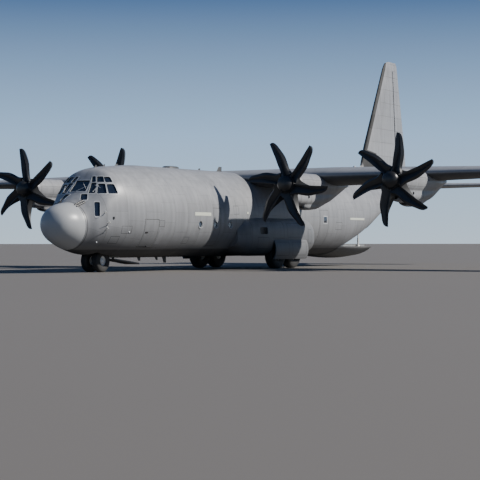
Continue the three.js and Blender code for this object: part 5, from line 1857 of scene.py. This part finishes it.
def makeNoseDoors():
    # the aft leaf hangs open under the belly, with a rib along each edge and two between them
    low, high, thick, half, start, end, ribHalf, hingeHalf = (
        noseDoor[key] for key in ("low", "high", "thick", "half", "start", "end", "ribHalf", "hingeHalf"))
    edge = [(start, high), (start, high - thick * 0.5), (end, low), (end, low + thick * 0.5)]
    rib = [(start + 20, high - 2), (start + 20, high + 15), (end - 60, low + 70),
           (end - 40, low + thick * 0.4)]
    ribs = [slab("rib", rib, x - ribHalf, x + ribHalf) for x in (-half + 14, -130, 130, half - 14)]
    hinges = [block(x - hingeHalf, x + hingeHalf, start + 40, start + 150, high - 20, high + 80)
              for x in noseDoor["hinges"]]
    whole = gather("nose_door_look", [slab("leaf", edge, -half, half), *ribs])
    dress(whole, airframe, plainHull, ["nose_gear_door"], "airframe_paint")
    fit("nose_door_hinges", hinges, darkMetal, "gear_paint")


def fairingBody():
    rows, middleX, rings = fairing["rows"], fairing["middle"], []
    rowAt = smoothTable(rows)
    for y in [*np.linspace(rows[0][0], rows[2][0], 30), *np.linspace(rows[3][0], rows[-1][0], 24)]:
        _, x, top, bottom = rowAt(y)
        section = {"half": x - middleX, "crown": top, "waist": (top + bottom) / 2, "keel": bottom, "up": 3.4,
                   "low": 3}
        rings.append(oval(middleX, y, section, fairing["sides"]))
    return loft("fairing", rings)


def makeFairings():
    body = fairingBody()
    y0, y1, z0, z1 = fairing["vent"]
    inner = mainWell["inner"]
    carve(body, block(inner, mainWell["outer"], mainWell["start"], mainWell["end"], 0, mainWell["top"]),
          block(inner, 4000, gearDoor["start"], gearDoor["end"], 0, gearDoor["top"]),
          block(-4000, 1250, 9000, 21000, 0, 5000), hullLoft("grown", -model["gap"], 10500, 19500),
          roundedBlock(2440, 3000, y0, y1, z0, z1, 60))
    pitch, slats = (z1 - z0) / fairing["slats"], []
    for k in range(fairing["slats"]):
        low, high = z0 + pitch * (k + 0.3), z0 + pitch * (k + 0.45)
        slats.append(slab("slat", [(y0 + 6, low), (y0 + 6, high), (y1 - 6, high), (y1 - 6, low)], 2445, 2540))
    for side, sign in bothSides:
        dress(onSide(body, sign, f"fairing_{side}_look"), airframe, fairingPaint, [f"gear_fairing_{side}"],
              "airframe_paint", sharp=38)
        dress(gatherSide(f"vent_{side}", slats, sign), airframe, darkMetal, slot="airframe_paint")
    for piece in [body, *slats]:
        discard(piece)


def doorSection(full, use):
    # an arc of radius full, or one inside it of radius use
    half = math.asin((gearDoor["top"] - gearDoor["bottom"]) / 2 / full)
    middleZ = (gearDoor["top"] + gearDoor["bottom"]) / 2 - model["gap"]
    centreX = gearDoor["x"] + gearDoor["bulge"] - full
    return [(centreX + use * math.cos(a), middleZ + use * math.sin(a))
            for a in np.linspace(half, -half, gearDoor["steps"])]


def doorRun(first, second, y0, y1):
    # the space between two arcs, from y0 to y1
    return loft("door", [[(x, y, z) for x, z in [*first, *second[::-1]]] for y in (y0, y1)])


def makeGearDoors():
    look = gearDoor
    rise = (look["top"] - look["bottom"]) / 2
    full = (rise ** 2 + look["bulge"] ** 2) / (2 * look["bulge"])
    outer, skin, inner = (doorSection(full, full - depth) for depth in (0, look["skin"], look["thick"]))
    start, end = look["start"] + 10, look["end"] - 10
    parts = [doorRun(outer, skin, start, end)]
    parts += [doorRun(skin, inner, y - look["ribHalf"], y + look["ribHalf"])
              for y in np.linspace(start + 30, end - 30, look["ribs"])]
    parts += [doorRun(skin[a:b], inner[a:b], start, end) for a, b in look["edges"]]
    arms = [rod((2420, y, 1600), (2560, y, 1330), 24, sides=12) for y in look["arms"]]
    for side, sign in bothSides:
        shell = gatherSide(f"gear_door_{side}_look", parts, sign)
        dress(shell, airframe, doorPaint, [f"main_gear_door_{side}"], "airframe_paint")
        dress(gatherSide(f"door_arms_{side}", arms, sign), airframe, gearPaint, slot="gear_paint")
    for piece in parts + arms:
        discard(piece)


def makeTyreRubber():
    graph = Graph("tyre_rubber")
    x, y, z = graph.spot()
    at = graph.vector(x, y, z)
    cloud = graph.noise(at, 2.5, 4.0)
    fine = graph.noise(at, 90.0, 3.0)
    dust = z.below(0.16, 0.1) * 0.5 + cloud * 0.5
    return graph.surface({
        "Base Color": graph.mix(dust, (0.0115, 0.0115, 0.012), (0.035, 0.034, 0.032)),
        "Roughness": 0.72 + (cloud - 0.5) * 0.25, "Normal": graph.bump(fine, 1.0),
    })


def makeLampGlass():
    graph = Graph("lamp_glass")
    x, _, z = graph.spot()
    ribs = (x.repeat(0.012, 0.006) + z.repeat(0.012, 0.006)) * 0.5
    return graph.surface({"Base Color": graph.tint((0.5, 0.52, 0.54), 0.85 + ribs * 0.3), "Roughness": 0.12,
                          "Normal": graph.bump(ribs, 1.5), "Coat Weight": 1.0})


tyreRubber = makeTyreRubber()
lampGlass = makeLampGlass()
plainHull = paint("belly_paint", None, lowDirt=0.35)
doorLines = [(14.02, 15.2, 0.62, 1.28), (15.5, 16.9, 0.62, 1.28)]


def doorSeams(x, y, z):
    front, rear = (outline(y, z, *lines) for lines in doorLines)
    return front.mostly(rear), 0.0, (y / 1.6).floor(), z.floor()


doorPaint = paint("gear_door_paint", doorSeams, lowDirt=0.35, cloud=0.2)
makeFairings()
makeGearDoors()
makeMainLegs()
makeMainWheels()
makeNoseLeg()
makeNoseWheels()
makeNoseDoors()
print("stage: landing gear made")

# lights, probes, antennas and other small fittings

stripPaint = plain("strip_light", (0.55, 0.57, 0.49), 0.35, vary=0.15, coat=0.3)
probeMetal = plain("probe_metal", (0.5, 0.49, 0.46), 0.3, metallic=0.8, vary=0.4, scale=9.0)
antennaPaint = plain("antenna_paint", (0.055, 0.057, 0.06), 0.5, vary=0.4, scale=6.0)
redLamp = plain("red_lamp", (0.45, 0.012, 0.01), 0.08, vary=0.1, coat=1.0)
greenLamp = plain("green_lamp", (0.01, 0.33, 0.08), 0.08, vary=0.1, coat=1.0)


def skinPatch(name, side, y0, y1, z0, z1, low, high, steps=8):
    # a curved plate that lies on the fuselage, between two heights over the skin
    rings = []
    for y in np.linspace(y0, y1, steps):
        heights = np.linspace(z0, z1, steps)
        outer = [(side * (skinX(y, z) + high), y, z) for z in heights]
        inner = [(side * (skinX(y, z) + low), y, z) for z in heights[::-1]]
        rings.append(outer + inner)
    return loft(name, rings)


lights = {
    # y, y, z, z and the two heights over the skin, of the strip lights and of the small flat lamps
    "strips": [(7650, 8980, 2450, 2600, -4, 7), (22710, 24490, 2440, 2550, -4, 7)],
    "flats": [(12110, 12250, 2580, 2680, -4, 16), (17300, 17430, 2700, 2800, -4, 16)],
    "fin": (31950, 32060, 8930, 10640), "finRow": (9700, 30242, 33610, 0.115), "finShare": 0.52,
    "finThick": 6,
    # distance along the axis and radius, of each lamp's outline
    "wingTip": [(-60, 0), (-52, 30), (-30, 52), (0, 62), (40, 52), (70, 30), (82, 0)],
    "beacon": [(0, 0), (0, 92), (40, 92), (92, 76), (120, 46), (130, 0)],
    "small": [(-14, 0), (-14, 36), (8, 34), (16, 20), (20, 0)],
    "beaconY": (27476, 18900), "smallAt": [(1800, 1280), (3178, 1700), (29800, 4000)],
    # a small lamp ahead of this leans forwards
    "leanAhead": 2500, "lean": -0.25,
}


def makeLights():
    look = lights
    strips = []
    share, thick = look["finShare"], look["finThick"]
    for sign in (1, -1):
        strips += [skinPatch(name, sign, *row) for name, key in (("strip", "strips"), ("lamp", "flats"))
                   for row in look[key]]
        half = max(point[0] for point in finRing(look["finRow"]))
        strips.append(sideBlock(sign, half * share, half * share + thick, *look["fin"]))
    fit("formation_strips", strips, stripPaint, "window_glass", bevel=3)
    for sign in (1, -1):
        row = wingAt(wing["tipX"] - 260)
        at = (sign * (wing["tipX"] - 250), row["lead"] + 60, row["z"])
        lamp = lathe("lamp", look["wingTip"], at, (0, 1, 0), 24)
        dress(lamp, airframe, redLamp if sign > 0 else greenLamp, slot="window_glass")
    topY, bellyY = look["beaconY"]
    dress(lathe("top_beacon", look["beacon"], (0, topY, 5430), (0, 0, 1), 32), airframe, lampGlass,
          slot="window_glass")
    dress(bladeAntenna(0, topY, 4950, 1, 420, 482), airframe, hullPaint, slot="airframe_paint")
    dress(lathe("belly_beacon", look["beacon"], (0, bellyY, skinZ(0, bellyY, False) + 12), (0, 0, -1), 32),
          airframe, redLamp, slot="window_glass")
    small = [lathe("lamp", look["small"], (sign * skinX(y, z), y, z),
                   (sign, look["lean"] if y < look["leanAhead"] else 0, 0), 20)
             for sign in (1, -1) for y, z in look["smallAt"]]
    fit("small_lamps", small, lampGlass, "window_glass")


def probeAt(sign, y, z, drop):
    # a short mast with a tube that points forward
    foot = np.array((sign * (skinX(y, z) - 6), y, z))
    tip = foot + (sign * 105, -70, -drop)
    return [rod(foot, tip, 20, 13, 12), rod(tip + (0, 30, 0), tip + (0, -210, -8), 13, 8, 12),
            lathe("base", [(0, 0), (0, 62), (10, 58), (10, 0)], foot, (sign, -0.4, 0.05), 20)]


def makeProbes():
    probes, darks = [], []
    for sign in (1, -1):
        for y, z, drop in ((1990, 2520, 20), (2130, 2120, 45), (2060, 1880, 60)):
            probes += probeAt(sign, y, z, drop)
        for z in (2940, 3000):
            foot = np.array((sign * (skinX(1560, z) - 10), 1560, z))
            darks.append(rod(foot, foot + (-sign * 80, -440, -190), 44, 26, 14))
        darks.append(skinPatch("vane", sign, 2300, 2360, 2230, 2330, -3, 30, 3))
    fit("air_probes", probes, probeMetal, "gear_paint")
    fit("nose_sensors", darks, blackPaint, "airframe_paint")


def bladeAntenna(x, y, z, up, chord, height):
    # a swept blade on a foot plate
    top = chord * 0.62
    ring = [(-0.5, 0), (-0.2, 0.5), (0.2, 0.42), (0.5, 0), (0.2, -0.42), (-0.2, -0.5)]
    width = chord * 0.16
    rings = [[(x + b * width, y + a * chord, z - up * 15) for a, b in ring],
             [(x + b * width, y + a * chord, z + up * 4) for a, b in ring],
             [(x + b * width * 0.5, y + a * top + chord * 0.22, z + up * height) for a, b in ring]]
    return loft("antenna", rings)


antennas = {
    # y, chord and height, on the crown and under the keel
    "top": [(3206, 150, 95), (3799, 150, 95), (4696, 260, 70), (11320, 210, 90), (13100, 470, 240),
            (22400, 330, 210)],
    "belly": [(6368, 260, 150), (7740, 240, 130), (8367, 330, 260), (20500, 300, 170)],
    # part of the dome's half sizes left, and height, of each ring
    "domeY": 8933, "domeHalf": (260, 560), "dome": [(1, 0), (1, 55), (0.93, 85), (0.75, 108), (0.4, 118)],
}


def makeAntennas():
    look = antennas
    parts = [bladeAntenna(0, y, skinZ(0, y, up > 0), up, chord, height)
             for key, up in (("top", 1), ("belly", -1)) for y, chord, height in look[key]]
    y, (wide, deep) = look["domeY"], look["domeHalf"]
    base = skinZ(0, y) - 25
    dome = [[(r * wide * math.cos(a), y + r * deep * math.sin(a), base + lift)
             for a in np.arange(40) * math.pi / 20] for r, lift in look["dome"]]
    parts.append(loft("dome", dome))
    fit("antennas", parts, antennaPaint, "radome_paint", sharp=35)


def makeWipers():
    # an arm and a blade on each of the three front panes, over the glass
    parts = []
    for x0, z0, x1, z1 in ((-128, 3370, 330, 3610), (760, 3375, 880, 3640), (-760, 3375, -880, 3640)):
        ends = []
        for x, z in ((x0, z0), (x1, z1)):
            y = next(y for y in range(1250, 3600, 4) if abs(x) < hullAt(y)["half"] and skinZ(x, y) >= z)
            ends.append(np.array((x, y - 34.0, z)))
        foot, tip = ends
        parts += [rod(foot, tip, 9, sides=8), rod(foot + (0, 50, 0), foot, 14, sides=10)]
        along = (tip - foot) / np.linalg.norm(tip - foot)
        across = np.cross(along, (0, -1, 0))
        across /= np.linalg.norm(across)
        parts.append(rod(tip - along * 60 - across * 170, tip - along * 60 + across * 170, 8, sides=8))
    fit("wipers", parts, framePaint, "tyre_rubber")


doorLook = {
    "steps": (1330, 1620, 1910), "stepY": (4120, 4790), "handle": (4110, 4270, 1650, 1710, -2, 12, 3),
    # y, y, z, z and the two heights over the skin
    "frame": (19690, 20140, 2200, 2610, -3, 10), "cut": (19740, 20090, 2250, 2560),
    "pane": (19745, 20085, 2255, 2555, 1, 4), "scuff": (5000, 5320, 1180, 1800, -3, 4),
    "rail": (5330, 11200, 1010, 1045, -4, 14, 24), "lug": 45, "lugDeep": 150,
}


def makeDoorDetails():
    look, leafBody = doorLook, "crew_door_leaf"
    pinX, pinZ, start, end = crewDoor["pinX"], crewDoor["pinZ"], crewDoor["pinStart"], crewDoor["end"] - 1
    pins = [rod((pinX, start, pinZ), (pinX, end, pinZ), crewDoor["pin"], sides=24),
            block(pinX - 100, pinX, start, end, pinZ - 5, pinZ + 25)]
    fit("crew_door_pin", pins, darkMetal, "gear_paint", leafBody)
    steps = []
    for z in look["steps"]:
        x = skinX(4450, z) - fuselage["wall"]
        steps.append(block(x - 70, x + 10, *look["stepY"], z - 14, z + 14))
    fit("crew_door_steps", steps, deckPlate, "floor_metal", leafBody)
    dress(skinPatch("handle", 1, *look["handle"]), leafBody, darkMetal, slot="gear_paint")
    for sign in (1, -1):
        frame = carve(skinPatch("frame", sign, *look["frame"]), block(-4000, 4000, *look["cut"]))
        pane = skinPatch("pane", sign, *look["pane"])
        dress(frame, airframe, framePaint, slot="airframe_paint")
        dress(pane, airframe, glass, slot="window_glass")
    lugs = []
    y, z, r = rearDoor["hingeY"], rearDoor["hingeZ"], rearDoor["radius"]
    for x in rearDoor["arms"]:
        near = x + rearDoor["armHalf"] + model["gap"]
        far = near + look["lug"]
        lugs += [block(near, far, y, y + look["lugDeep"], z - r, z + r), rod((near, y, z), (far, y, z), r)]
    fit("rear_door_lugs", lugs, hullPaint, "airframe_paint")
    scuffs = [skinPatch("scuff", 1, *look["scuff"])]
    scuffs += [skinPatch("rail", sign, *look["rail"]) for sign in (1, -1)]
    fit("lower_strips", scuffs, plainHull, "airframe_paint")


nacelleLook = {
    # distance along the axis and radius, of the outlet and of the dark disc in it
    "outlet": [(-12, 44), (-12, 62), (34, 60), (34, 46)], "plug": [(-10, 0), (-10, 46), (8, 46), (8, 0)],
    "outletY": 12290, "outletAxis": (1, 0.35, 0.1), "masts": (13094, 13575),
}


def makeNacelleDetails():
    look = nacelleLook
    outlets, masts = [], []
    for _, x, z, *_ in engineTable:
        at = (x + 418, look["outletY"], z - 550)
        outlets += [hoop("outlet", look["outlet"], at, look["outletAxis"], 28),
                    lathe("plug", look["plug"], at, look["outletAxis"], 28)]
        masts += [bladeAntenna(x + 60, y, z - 935, -1, 120, 150) for y in look["masts"]]
    fit("nacelle_outlets", outlets, antennaPaint, "airframe_paint")
    fit("drain_masts", masts, antennaPaint, "airframe_paint")


def makeWicks():
    wicks = []
    for sign in (1, -1):
        for x in (19450, 19700, 19950):
            row = wingAt(x)
            edge = row["lead"] + row["chord"]
            tip = (sign * (x + 10), edge + 190, row["z"] - 8)
            wicks.append(rod((sign * x, edge - 40, row["z"]), tip, 6, 3, 6))
    fit("static_wicks", wicks, antennaPaint, "tyre_rubber")


makeLights()
makeProbes()
makeAntennas()
makeWipers()
makeDoorDetails()
makeNacelleDetails()
makeWicks()
print("stage: small fittings made")
